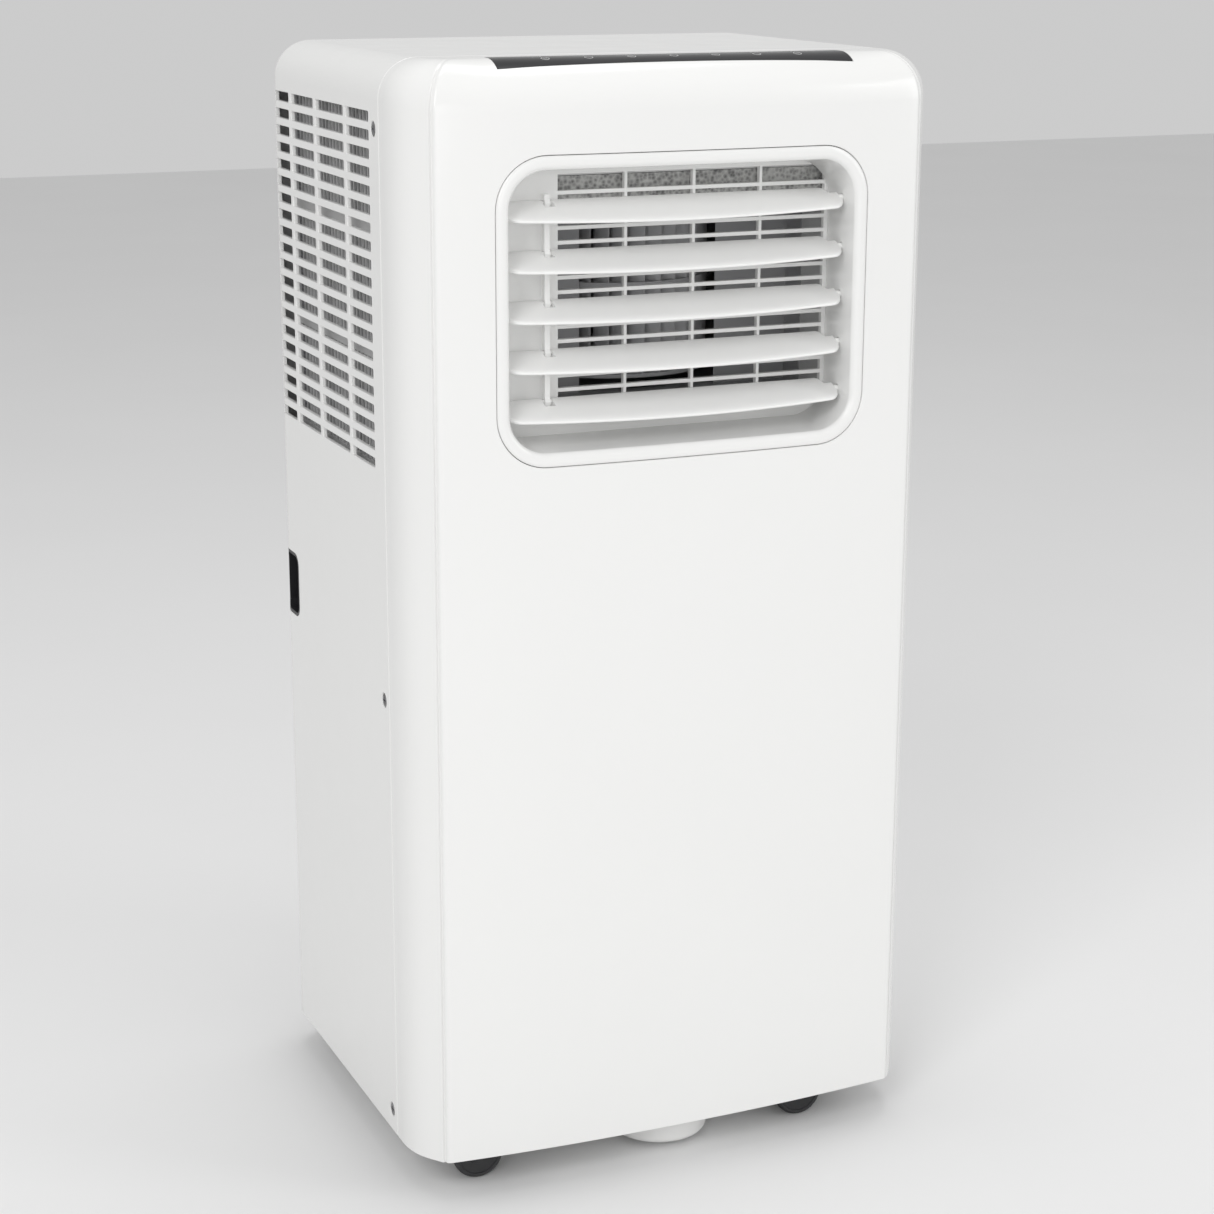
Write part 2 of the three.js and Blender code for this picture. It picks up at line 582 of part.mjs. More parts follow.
const EXHAUST_MOTOR_Y = EXHAUST.y - EXHAUST.halfD - 5 - GAP - 45;
piece('exhaust_motor', motor(34, 42, 4, 24).rotate([-90, 0, 0]), STEEL,
  [EXHAUST.x, EXHAUST_MOTOR_Y, EXHAUST.z]);

// ---------- exhaust duct and hose collar ----------
const EXHAUST_DUCT = { halfW: 84, y0: -24, y1: 118, z0: SCROLL_TOP + GAP, z1: 428 };
function exhaustDuct() {
  const { halfW, y0, y1, z0, z1 } = EXHAUST_DUCT;
  const outside = box([-halfW, y0, z0], [halfW, y1, z1]);
  const inside = box([-halfW + SHEET, y0 + SHEET, z0 + SHEET], [halfW - SHEET, y1 - SHEET, z1 - SHEET]);
  const intake = box([-32, EXHAUST.y - 29, z0 - 5], [28, EXHAUST.y + 29, z0 + 5]);
  const outlet = bar('y', [COLLAR.x, COLLAR.z], COLLAR.r - 4, y1 - 5, y1 + 5, 28);
  return cut(outside, inside, intake, outlet);
}
piece('exhaust_duct', exhaustDuct(), GREY_PLASTIC);

function exhaustCollar() {
  const y0 = EXHAUST_DUCT.y1 + GAP;
  const r = COLLAR.r;
  const profile = [[r - 4, y0], [r + 2, y0], [r + 2, y0 + 2], [r - 1.5, y0 + 2], [r - 1.5, REAR - 2.5],
    [r + 3.5, REAR - 2.5], [r + 3.5, REAR], [r - 4, REAR], [r - 4, y0]];
  return lathe(profile, 28).rotate([-90, 0, 0]).mirror([0, 0, 1]).translate([COLLAR.x, 0, COLLAR.z]);
}
piece('exhaust_collar', exhaustCollar(), BLACK);

// ---------- evaporator, side filters and drain tray ----------
const COIL = { halfW: 150, front: -50, rear: 122, thick: 22, z0: 452, z1: 632 };
function uPlan(halfW, front, rear, thick) {
  const inner = halfW - thick;
  const bend = 8;
  return [
    [-halfW, front], [-inner, front], [-inner, rear - thick], [inner, rear - thick], [inner, front],
    [halfW, front], [halfW, rear - bend], [halfW - bend, rear], [bend - halfW, rear], [-halfW, rear - bend],
  ];
}
const coilPlan = (spread) => uPlan(
  COIL.halfW + spread, COIL.front - spread, COIL.rear + spread, COIL.thick + 2 * spread,
);
piece('evaporator', prismZ(coilPlan(0), COIL.z0, COIL.z1), ALUMINIUM);

// Filter frames slide in behind the side grilles: three panes divided by two bars.
const FILTER = { y0: -68, y1: 110, z0: 432.5, z1: 645, panes: 3 };
function sideFilter(side) {
  const outline = rectangle(FILTER.y0, FILTER.y1, FILTER.z0, FILTER.z1);
  const x0 = side > 0 ? 154.5 : -157.5;
  const plate = prismX(outline, x0, x0 + 3);
  const pitch = (FILTER.z1 - FILTER.z0 - 6) / FILTER.panes;
  const middle = x0 + 1.5;
  const recesses = Array.from({ length: FILTER.panes }, (_, k) => {
    const z = FILTER.z0 + 6 + k * pitch;
    const [near, far] = side > 0 ? [middle - 0.4, x0 + 5] : [x0 - 2, middle + 0.4];
    return [[near, FILTER.y0 + 6, z], [far, FILTER.y1 - 6, z + pitch - 6]];
  });
  return plate.subtract(boxes(recesses));
}
piece('side_filter_left', sideFilter(-1), GREY_PLASTIC);
piece('side_filter_right', sideFilter(1), GREY_PLASTIC);

function drainTray() {
  const z0 = 429;
  const rim = box([-156, -92, z0], [153, 127, z0 + 3]);
  const channel = prismZ(coilPlan(3), z0, COIL.z0 + 6);
  const trough = prismZ(coilPlan(1), COIL.z0 - 6, 700);
  const well = prismZ(coilPlan(-2), z0 + 3, 700);
  const inlet = bar('z', [BLOWER.x, BLOWER.y], BLOWER.r, z0 - 5, z0 + 9, 30);
  const suctionHole = bar('z', [-139, -64], 7, z0 - 5, z0 + 9, 12);
  const liquidHole = bar('z', [-118, 60], 5, z0 - 5, z0 + 9, 12);
  return cut(join(rim, channel), trough, well, inlet, suctionHole, liquidHole);
}
piece('drain_tray', drainTray(), GREY_PLASTIC);

// ---------- condenser, compressor and pipework ----------
piece('condenser', box([-150, 88, 64], [150, 114, 261.5]), ALUMINIUM);

const { x: COMP_X, y: COMP_Y, r: COMP_R, z0: COMP_Z0, z1: COMP_Z1 } = COMPRESSOR;
function compressor() {
  const can = lathe([[0, COMP_Z0], [COMP_R - 12, COMP_Z0], [COMP_R, COMP_Z0 + 10], [COMP_R, COMP_Z1 - 18],
    [COMP_R - 6, COMP_Z1 - 7], [COMP_R - 22, COMP_Z1 - 1], [0, COMP_Z1]], 20);
  const feet = [90, 210, 330].map((degrees) => prismZ(roundedRect(15, 12, 11, 2, [COMP_R - 6, 0]), 0, 3)
    .rotate([0, 0, degrees]).translate([0, 0, COMP_Z0 - 6]));
  const skirt = bar('z', [0, 0], COMP_R - 14, COMP_Z0 - 6, COMP_Z0 + 2, 20);
  return join(can, skirt, ...feet).translate([COMP_X, COMP_Y, 0]);
}
piece('compressor', compressor(), BLACK);

const ACCUMULATOR = { x: -24, y: -88, r: 18, z0: 92, z1: 226 };
piece('accumulator', lathe([[0, ACCUMULATOR.z0], [8, ACCUMULATOR.z0], [ACCUMULATOR.r, ACCUMULATOR.z0 + 12],
  [ACCUMULATOR.r, ACCUMULATOR.z1 - 12], [8, ACCUMULATOR.z1], [0, ACCUMULATOR.z1]], 14), BLACK,
[ACCUMULATOR.x, ACCUMULATOR.y, 0]);

piece('suction_pipe', pipe([
  [ACCUMULATOR.x, ACCUMULATOR.y, ACCUMULATOR.z1 + GAP], [ACCUMULATOR.x, ACCUMULATOR.y, 262],
  [-44, -84, 292], [-90, -74, 312], [-130, -66, 340], [-139, -64, 380], [-139, -64, 484], [-139, -59, 500],
  [-139, COIL.front - 2 * GAP, 500],
], 4.5, 22, 6), COPPER);
piece('discharge_pipe', pipe([
  [COMP_X, COMP_Y, COMP_Z1 + GAP], [COMP_X, COMP_Y, 285], [COMP_X - 12, COMP_Y + 20, 302],
  [-122, 40, 306], [-126, 82, 296], [-126, 101, 278], [-126, 101, 261.5 + GAP],
], 4, 18, 6), COPPER);

function capillary() {
  const points = [[-100, 101, 261.5 + GAP], [-100, 101, 272], [-103, 80, 290]];
  const turns = 3;
  const perTurn = 8;
  for (let k = 0; k <= turns * perTurn; k += 1) {
    const angle = (k / perTurn) * 2 * Math.PI;
    points.push([-118 + 14 * Math.cos(angle), 60 + 14 * Math.sin(angle), 318 + (k / perTurn) * 8]);
  }
  points.push([-112, 62, 372], [-118, 60, 400], [-118, 60, 442], [-118, 66, 500], [-121, 74, 520],
    [COIL.thick - COIL.halfW + 2 * GAP, 74, 520]);
  return pipe(points, 1.8, 56, 5);
}
piece('capillary_tube', capillary(), COPPER);

// Splash wheel: throws the condensate in the pan on to the condenser.
const SPLASH = { x: 60, y: 62, z: 57, r: 21 };
function splashWheel() {
  const disc = bar('x', [0, 0], 14, -1.5, 1.5, 12);
  const paddle = box([-4, -2, 10], [4, 2, SPLASH.r]);
  const paddles = Array.from({ length: 6 }, (_, k) => paddle.rotate([k * 60, 0, 0]));
  return cut(join(disc, bar('x', [0, 0], 6, -6, 6, 8), ...paddles), bar('x', [0, 0], 2.4, -10, 10, 8));
}
piece('splash_wheel', splashWheel(), GREY_PLASTIC, [SPLASH.x, SPLASH.y, SPLASH.z]);
piece('splash_motor', join(bar('x', [SPLASH.y, SPLASH.z], 14, SPLASH.x - 36, SPLASH.x - 9, 16),
  bar('x', [SPLASH.y, SPLASH.z], 2, SPLASH.x - 12, SPLASH.x + 5, 8)), STEEL);

// ---------- controls ----------
const boxRoom = box([42, -118, 122], [144, -90, 318]);
piece('control_box', cut(box([40, -121, 120], [146, -92, 320]), boxRoom), STEEL);
piece('control_board', box([48, -114, 130], [138, -112.4, 310]), BOARD);
const capacitorAt = [60, -62];
const capacitor = join(bar('z', capacitorAt, 17, 290, 352), bar('z', capacitorAt, 5, 350, 357, 12));
piece('run_capacitor', capacitor, ALUMINIUM);

// ---------- base pan ----------
const STEMS = {
  front_left: [-STEM_X, STEM_FRONT_Y], front_right: [STEM_X, STEM_FRONT_Y],
  rear_left: [-STEM_X, STEM_REAR_Y], rear_right: [STEM_X, STEM_REAR_Y],
};
const WELL_R = 31;
const WELL_TOP = 44;
const SUMP = { x: 6, y: -91, r: 31, z0: 4 };
function panOutline(inset) {
  return fullPlan(false).filter((p, k) => k % 2 === 0).map((p) => {
    const out = THREE.MathUtils.degToRad(p.out);
    return [p.x - inset * Math.cos(out), p.y - inset * Math.sin(out)];
  });
}
function basePan() {
  let pan = prismZ(panOutline(WALL + GAP), 27, 56).subtract(prismZ(panOutline(WALL + GAP + 2), 30, 60));
  for (const [x, y] of Object.values(STEMS)) {
    const hump = bar('z', [x, y], WELL_R + 2.2, 28, WELL_TOP + 2.5, 18);
    pan = pan.add(hump.intersect(prismZ(panOutline(WALL + GAP), 27, 56)));
  }
  const sump = bar('z', [SUMP.x, SUMP.y], SUMP.r, SUMP.z0, 29, 24);
  pan = pan.add(sump).subtract(bar('z', [SUMP.x, SUMP.y], SUMP.r - 2.4, SUMP.z0 + 2.4, 40, 24));
  const mounts = [90, 210, 330].map((degrees) => {
    const angle = THREE.MathUtils.degToRad(degrees);
    const at = [COMP_X + (COMP_R - 2) * Math.cos(angle), COMP_Y + (COMP_R - 2) * Math.sin(angle)];
    return bar('z', at, 9, 29, COMP_Z0 - 6 - GAP, 8);
  });
  pan = join(pan, ...mounts, box([-140, 90, 29], [140, 93, 63.6]), box([-140, 109, 29], [140, 112, 63.6]));
  for (const [x, y] of Object.values(STEMS)) {
    pan = pan.subtract(bar('z', [x, y], WELL_R, 20, WELL_TOP, 18));
    pan = pan.subtract(bar('z', [x, y], 4.4, 20, WELL_TOP + 10, 10));
  }
  const tabRoom = [-1, 1].map((side) => box([side * 164 - 6, -99, 30.5], [side * 164 + 6, -64, 60]));
  const { x, z } = DRAINS.drain_cap_lower;
  return cut(pan, ...tabRoom, bar('y', [x, z], 11, 120, 150, 12));
}
piece('base_pan', basePan(), WHITE);

// ---------- casters ----------
// Twin wheels under a hood. The stem turns in the pan and the wheels trail it towards -X.
function casterBody() {
  const hood = bar('y', [-TRAIL, WHEEL_R], WHEEL_R + 3, -10.5, 10.5, 18);
  const above = box([-40, -20, WHEEL_R + 3], [20, 20, 60]);
  const wheelRoom = [[-10.6, -2.4], [2.4, 10.6]].map(
    ([y0, y1]) => bar('y', [-TRAIL, WHEEL_R], WHEEL_R + 1, y0, y1, 18),
  );
  const web = box([-TRAIL - 7, -2.2, WHEEL_R - 5], [4, 2.2, WHEEL_R + 12]);
  const neck = bar('z', [0, 0], 7, WHEEL_R + 3, WELL_TOP - 3, 10);
  const stem = bar('z', [0, 0], 4, WELL_TOP - 4, 52, 10);
  const axleHole = bar('y', [-TRAIL, WHEEL_R], 2.4, -20, 20, 8);
  const shell = cut(join(hood.intersect(above), neck), ...wheelRoom);
  return cut(join(shell, web, stem), axleHole);
}
function casterWheel() {
  const profile = [
    [0, 2.7], [WHEEL_R - 1, 2.7], [WHEEL_R, 3.7], [WHEEL_R, 9], [WHEEL_R - 2, 10.4], [0, 10.4],
  ];
  const disc = lathe(profile, 16);
  const axle = bar('z', [0, 0], 2, -8, 8, 8);
  return join(disc, disc.mirror([0, 0, 1]), axle).rotate([90, 0, 0]);
}
for (const [place, [x, y]] of Object.entries(STEMS)) {
  piece(`caster_${place}`, casterBody(), BLACK, [x, y, 0]);
  piece(`caster_wheels_${place}`, casterWheel(), RUBBER, [x - TRAIL, y, WHEEL_R]);
}

// ---------- handle cups ----------
// Each cup wraps the rear corner: a finger hollow with a rim that lies flush in the casing.
function handleCup(side) {
  const { y0, y1, z0, z1, depth } = CUP;
  const [a, b] = [HALF_W - depth, HALF_W];
  const outside = box([a, y0 + GAP, z0 + GAP], [b, y1 - GAP, z1 - GAP]);
  const hollow = box([a + 2, y0 + GAP + 2, z0 + GAP + 2], [b + 5, y1 - GAP - 2, z1 - GAP - 2]);
  const cup = outside.intersect(outerCasing).subtract(hollow);
  return side > 0 ? cup : cup.mirror([1, 0, 0]);
}
piece('handle_cup_left', handleCup(-1), BLACK);
piece('handle_cup_right', handleCup(1), BLACK);

// ---------- rear grilles, filter, drain caps and cord gland ----------
const REAR_PITCH = 14.6;
const REAR_SLOT = 8.6;
function slottedPanel({ halfW, z0, z1 }, columns, pitch, y0, y1) {
  const holes = [];
  const rows = Math.floor((z1 - z0 - 16) / pitch);
  const width = (2 * halfW - 16) / columns;
  const start = (z0 + z1) / 2 - (rows * pitch) / 2 + pitch / 2;
  for (let row = 0; row < rows; row += 1) {
    for (let column = 0; column < columns; column += 1) {
      const x = -halfW + 8 + (column + 0.5) * width;
      const z = start + row * pitch;
      const low = [x - width / 2 + 2.2, y0 - 2, z - REAR_SLOT / 2];
      holes.push([low, [x + width / 2 - 2.2, y1 + 2, z + REAR_SLOT / 2]]);
    }
  }
  return box([-halfW, y0, z0], [halfW, y1, z1]).subtract(boxes(holes));
}
const clear = ({ halfW, z0, z1 }) => ({ halfW: halfW - GAP, z0: z0 + GAP, z1: z1 - GAP });
piece('rear_grille', slottedPanel(clear(REAR_GRILLE), 3, REAR_PITCH, REAR - 3, REAR - 0.2), WHITE);
piece('lower_grille', slottedPanel(clear(LOWER_GRILLE), 3, REAR_PITCH, REAR - 3, REAR - 0.2), WHITE);
piece('rear_filter', box([-100, 127.5, 456], [100, 130, 636]), GREY_PLASTIC);

for (const [name, { x, z }] of Object.entries(DRAINS)) {
  const cap = lathe([[0, 0], [8.5, 0], [8.5, 8], [10.6, 8], [10.6, 10.8], [4, 10.8], [4, 9.4], [0, 9.4]], 12)
    .rotate([-90, 0, 0]);
  piece(name, cap, BLACK, [x, REAR - 11, z]);
}
const glandProfile = [[5, 0], [12, 0], [12, 3], [8.7, 3], [8.7, 10.5], [5, 10.5], [5, 0]];
piece('cord_gland', lathe(glandProfile, 14).rotate([-90, 0, 0]), BLACK, [GLAND.x, REAR - 11, GLAND.z]);

export default model;
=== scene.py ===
import json
import math

import bmesh
import bpy
from mathutils import Matrix, Vector


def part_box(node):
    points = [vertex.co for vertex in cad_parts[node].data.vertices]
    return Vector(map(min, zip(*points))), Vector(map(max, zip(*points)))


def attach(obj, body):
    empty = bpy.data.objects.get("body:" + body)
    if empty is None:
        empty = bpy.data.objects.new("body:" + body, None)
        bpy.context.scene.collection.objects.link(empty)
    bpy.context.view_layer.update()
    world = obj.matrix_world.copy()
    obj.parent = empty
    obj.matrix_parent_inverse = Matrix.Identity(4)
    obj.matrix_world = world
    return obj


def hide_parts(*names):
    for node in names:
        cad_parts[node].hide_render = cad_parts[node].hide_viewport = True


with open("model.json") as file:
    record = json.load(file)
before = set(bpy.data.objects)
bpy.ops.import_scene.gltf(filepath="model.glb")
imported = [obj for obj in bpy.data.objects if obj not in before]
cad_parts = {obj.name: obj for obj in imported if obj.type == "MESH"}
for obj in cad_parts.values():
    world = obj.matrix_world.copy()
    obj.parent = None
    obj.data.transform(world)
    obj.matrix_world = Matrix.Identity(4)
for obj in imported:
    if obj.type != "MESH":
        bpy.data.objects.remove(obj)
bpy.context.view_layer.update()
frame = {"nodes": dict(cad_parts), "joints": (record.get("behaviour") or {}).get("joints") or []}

# ---------------------------------------------------------------------------------------------
# Base pan. The moulded tray everything stands on: a low wall inside the casing's outline, a round
# sump that hangs below its front edge, and a well over each caster. White ABS, matt underneath.
# ---------------------------------------------------------------------------------------------
MM = 0.001


class Wire:
    """A shader socket that can be used in sums. Each operator adds its Math node."""

    def __init__(self, finish, socket):
        self.finish = finish
        self.socket = socket

    def _math(self, operation, first, second):
        return self.finish.node("ShaderNodeMath", {"operation": operation}, {0: first, 1: second})

    def __add__(self, other):
        return self._math("ADD", self, other)

    def __mul__(self, other):
        return self._math("MULTIPLY", self, other)

    def __gt__(self, other):
        return self._math("GREATER_THAN", self, other)

    __radd__ = __add__
    __rmul__ = __mul__


class Finish:
    """One material: a Principled shader and the nodes that feed it."""

    def __init__(self, name, sockets):
        self.material = bpy.data.materials.new(name)
        self.material.use_nodes = True
        self.tree = self.material.node_tree
        self.shader = self.tree.nodes["Principled BSDF"]
        for socket, value in sockets.items():
            self.feed(socket, value)
        self.place = self.node("ShaderNodeTexCoord", output="Object")

    def node(self, kind, settings=None, inputs=None, output=0):
        made = self.tree.nodes.new(kind)
        for name, value in (settings or {}).items():
            if name == "stops":
                self._set_stops(made.color_ramp, value)
            else:
                setattr(made, name, value)
        for name, value in (inputs or {}).items():
            self._set(made.inputs[name], value)
        return Wire(self, made.outputs[output])

    def feed(self, socket, value):
        self._set(self.shader.inputs[socket], value)

    def _set(self, socket, value):
        if isinstance(value, Wire):
            self.tree.links.new(value.socket, socket)
        elif socket.type == "RGBA" and len(value) == 3:
            socket.default_value = (*value, 1)
        else:
            socket.default_value = value

    def _set_stops(self, ramp, stops):
        while len(ramp.elements) < len(stops):
            ramp.elements.new(1)
        for element, (place, colour) in zip(ramp.elements, stops):
            element.position = place
            element.color = (*colour, 1) if len(colour) == 3 else colour

    def noise(self, size, detail=3):
        """Noise whose lumps are about `size` metres across."""
        return self.node("ShaderNodeTexNoise", inputs={
            "Vector": self.place, "Scale": 1 / size, "Detail": detail})

    def blend_colours(self, factor, first, second):
        return self.node("ShaderNodeMix", {"data_type": "RGBA"}, {0: factor, 6: first, 7: second}, 2)

    def axis(self, which):
        return self.node("ShaderNodeSeparateXYZ", inputs={0: self.place}, output="XYZ".index(which))

    def bump(self, height, strength, distance):
        self.feed("Normal", self.node("ShaderNodeBump", inputs={
            "Height": height, "Strength": strength, "Distance": distance}))


def moulded_plastic(name, colour, roughness, grain=0.35, drift=0.04, grain_size=0.0006, coat=0.0):
    """Injection moulded plastic: fine spark-eroded grain, faint flow marks and uneven gloss."""
    finish = Finish(name, {"Coat Weight": coat, "Coat Roughness": 0.08})
    flow = finish.noise(0.09, 4)
    darker = [channel * (1 - drift) for channel in colour]
    finish.feed("Base Color", finish.blend_colours(flow, darker, colour))
    smear = finish.noise(0.03, 5)
    finish.feed("Roughness", roughness - 0.05 + smear * 0.1)
    finish.bump(finish.noise(grain_size, 2), grain, 0.00004)
    return finish.material


PAN_WHITE = moulded_plastic("pan_white", (0.80, 0.80, 0.79), 0.45)


def new_piece(name, vertices, faces):
    mesh = bpy.data.meshes.new(name)
    mesh.from_pydata([tuple(v) for v in vertices], [], faces)
    worked = bmesh.new()
    worked.from_mesh(mesh)
    bmesh.ops.remove_doubles(worked, verts=worked.verts, dist=1e-7)
    bmesh.ops.recalc_face_normals(worked, faces=worked.faces)
    worked.to_mesh(mesh)
    worked.free()
    made = bpy.data.objects.new(name, mesh)
    bpy.context.scene.collection.objects.link(made)
    return made


def skinned(name, rings, closed_path=False):
    """A skin over rings of equal length. Its ends are capped, or joined when the path is closed."""
    count = len(rings[0])
    vertices = [point for ring in rings for point in ring]
    faces = []
    spans = len(rings) if closed_path else len(rings) - 1
    for i in range(spans):
        here = i * count
        there = ((i + 1) % len(rings)) * count
        for j in range(count):
            k = (j + 1) % count
            faces.append((here + j, here + k, there + k, there + j))
    if not closed_path:
        faces.append(tuple(reversed(range(count))))
        faces.append(tuple(range(len(vertices) - count, len(vertices))))
    return new_piece(name, vertices, faces)


def turned(name, profile, sides=48, axis="z", centre=(0, 0, 0)):
    """A closed profile of (radius, height) turned about an axis through a centre."""
    place = {"z": Matrix.Identity(4), "x": Matrix.Rotation(math.pi / 2, 4, "Y"),
             "y": Matrix.Rotation(-math.pi / 2, 4, "X")}[axis]
    place = Matrix.Translation(centre) @ place
    on_axis = [k for k, (r, _) in enumerate(profile) if r < 1e-9]
    vertices = []
    faces = []
    for s in range(sides):
        angle = 2 * math.pi * s / sides
        for r, h in profile:
            vertices.append(place @ Vector((r * math.cos(angle), r * math.sin(angle), h)))
    count = len(profile)
    last = count - 1 if on_axis else count
    for s in range(sides):
        here = s * count
        there = ((s + 1) % sides) * count
        for k in range(last):
            n = (k + 1) % count
            faces.append((here + k, here + n, there + n, there + k))
    return new_piece(name, vertices, faces)


def drawn(points, side=1):
    """A profile given in millimetres. A side of -1 turns it to face the other way."""
    return [(r * MM, h * side * MM) for r, h in points]


def rod(radius, low, high):
    """The profile of a plain cylinder."""
    return [(0, low), (radius, low), (radius, high), (0, high)]


def prism(name, outline, low, high, axis="z"):
    """An outline (pairs) carried between two heights along an axis."""
    def put(a, b, height):
        return {"z": (a, b, height), "y": (a, height, b), "x": (height, a, b)}[axis]
    return skinned(name, [[put(a, b, h) for a, b in outline] for h in (low, high)])


def settled(piece):
    """Turns the modifiers' result into the piece's own mesh."""
    graph = bpy.context.evaluated_depsgraph_get()
    mesh = bpy.data.meshes.new_from_object(piece.evaluated_get(graph))
    piece.modifiers.clear()
    piece.data = mesh
    return piece


def carved(piece, *tools, operation="DIFFERENCE"):
    for tool in tools:
        cut = piece.modifiers.new("cut", "BOOLEAN")
        cut.operation = operation
        cut.solver = "MANIFOLD"
        cut.object = tool
    settled(piece)
    for tool in tools:
        bpy.data.objects.remove(tool)
    return piece


def merged(name, pieces):
    """Several meshes as one piece."""
    whole = bmesh.new()
    for part in pieces:
        whole.from_mesh(part.data)
        bpy.data.objects.remove(part)
    mesh = bpy.data.meshes.new(name)
    whole.to_mesh(mesh)
    whole.free()
    made = bpy.data.objects.new(name, mesh)
    bpy.context.scene.collection.objects.link(made)
    return made


def smoothed(piece, degrees=38):
    piece.data.shade_smooth()
    piece.data.set_sharp_from_angle(angle=math.radians(degrees))
    weigh = piece.modifiers.new("flats", "WEIGHTED_NORMAL")
    weigh.keep_sharp = True
    return settled(piece)


def fit(piece, body, slot, material, *nodes):
    """Gives a finished piece its material, its body and the CAD nodes that it stands for."""
    piece.data.materials.clear()
    piece.data.materials.append(material)
    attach(piece, body)
    if nodes:
        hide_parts(*nodes)
    return piece


# The casing's outline, which the pan, the shells and the seam share. It is worked out from the
# frame: the flat sides and rear from the rear shell, the bowed face from the front shell.
REAR_LOW, REAR_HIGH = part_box("rear_shell")
HALF_W = REAR_HIGH.x
REAR_Y = REAR_HIGH.y
FACE_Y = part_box("front_shell")[0].y
TOP_Z = REAR_HIGH.z
FOOT_Z = REAR_LOW.z
SEAM_Y = -84 * MM
WALL = 2.5 * MM
FACE_HALF = 150 * MM
FACE_SAG = 7.1 * MM
CORNER_R = 25 * MM
EDGE_R = 23 * MM
FRONT_EDGE_EXTRA = 5 * MM


def face_y(x):
    """Depth of the bowed front face at x."""
    return FACE_Y + FACE_SAG * (abs(x) / FACE_HALF) ** 2.2


def bezier(points, t):
    a, b, c, d = (Vector(p) for p in points)
    u = 1 - t
    return a * u ** 3 + b * 3 * u * u * t + c * 3 * u * t * t + d * t ** 3


def half_outline(groove):
    """Right half of the plan from front centre to rear: (x, y, outward angle, inward lean angle)."""
    points = []
    for k in range(30):
        x = 147.5 * MM * k / 29
        points.append((x, face_y(x), -90, -90 + 42 * max(0, (x / MM - 100) / 50)))
    edge_y = face_y(FACE_HALF)
    if groove:
        for x, y, out in ((148.6, 0.1, -84), (149.4, 0.45, -62), (149.9, 1.2, -20), (150.1, 2.3, -30),
                          (150.6, 2.75, -80), (151.2, 2.5, -75)):
            points.append((x * MM, edge_y + y * MM, out, -48))
    curve = ((151.8 * MM, edge_y + 2.4 * MM), (158 * MM, -119 * MM), (HALF_W, -113 * MM), (HALF_W, -92 * MM))
    for k in range(19):
        t = k / 18
        at = bezier(curve, t)
        ahead = bezier(curve, min(1, t + 0.01)) - bezier(curve, max(0, t - 0.01))
        points.append((at.x, at.y, math.degrees(math.atan2(-ahead.x, ahead.y)), -48 * (1 - t)))
    for y in (-60, -20, 20, 60, 90):
        points.append((HALF_W, y * MM, 0, 0))
    for k in range(15):
        angle = 90 * k / 14
        points.append((HALF_W - CORNER_R + CORNER_R * math.cos(math.radians(angle)),
                       REAR_Y - CORNER_R + CORNER_R * math.sin(math.radians(angle)), angle, angle))
    return points


def full_outline(groove=False):
    right = half_outline(groove)
    left = [(-x, y, 180 - out, 180 - lean) for x, y, out, lean in reversed(right[1:])]
    return right + left


def inset_outline(inset):
    return [(x - inset * math.cos(math.radians(out)), y - inset * math.sin(math.radians(out)))
            for x, y, out, _ in full_outline()]


PAN_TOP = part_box("base_pan")[1].z
PAN_FLOOR = 27 * MM
PAN_GAP = 0.3 * MM
PAN_WALL = 2 * MM
PAN_FLOOR_T = 3 * MM
SUMP_AT = (6 * MM, -91 * MM, 0)
SUMP_ROOM_R = 28.6 * MM
SUMP = ((0, 4), (27.5, 4), (29.6, 4.7), (30.7, 6.2), (31, 8), (31, 28.5), (28.6, 28.5), (28.6, 8),
        (27, 6.4), (0, 6.4))
WELL = ((0, 20), (31, 20), (31, 38), (28, 44), (0, 44))
HUMP = ((0, 28), (33, 28), (33, 40), (30, 46.5), (0, 46.5))
DRAIN_R = 11 * MM
STEMS = {joint["child"]: Vector(joint["pos_m"]) for joint in frame["joints"]
         if joint["name"].endswith("_swivel")}

pan = prism("base_pan", inset_outline(WALL + PAN_GAP), PAN_FLOOR, PAN_TOP)
carved(pan, prism("room", inset_outline(WALL + PAN_GAP + PAN_WALL), PAN_FLOOR + PAN_FLOOR_T, PAN_TOP + MM))
wells = [turned("well", drawn(WELL), 64, centre=(at.x, at.y, 0)) for at in STEMS.values()]
humps = [turned("hump", drawn(HUMP), 64, centre=(at.x, at.y, 0)) for at in STEMS.values()]
humps = [carved(hump, prism("limit", inset_outline(WALL + 0.4 * MM), 20 * MM, 60 * MM),
                operation="INTERSECT") for hump in humps]
carved(pan, *humps, operation="UNION")
sump = turned("sump", drawn(SUMP), 96, centre=SUMP_AT)
carved(pan, *wells)
carved(pan, turned("sump_room", rod(SUMP_ROOM_R, 20 * MM, 40 * MM), 96, centre=SUMP_AT))
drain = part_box("drain_cap_lower")
drain_at = (drain[0] + drain[1]) / 2
carved(pan, turned("drain_hole", rod(DRAIN_R, -20 * MM, 20 * MM), 32, "y", (drain_at.x, REAR_Y, drain_at.z)))
pan = merged("base_pan_moulding", [pan, sump])
fit(smoothed(pan), "casing", "shell_white", PAN_WHITE, "base_pan")

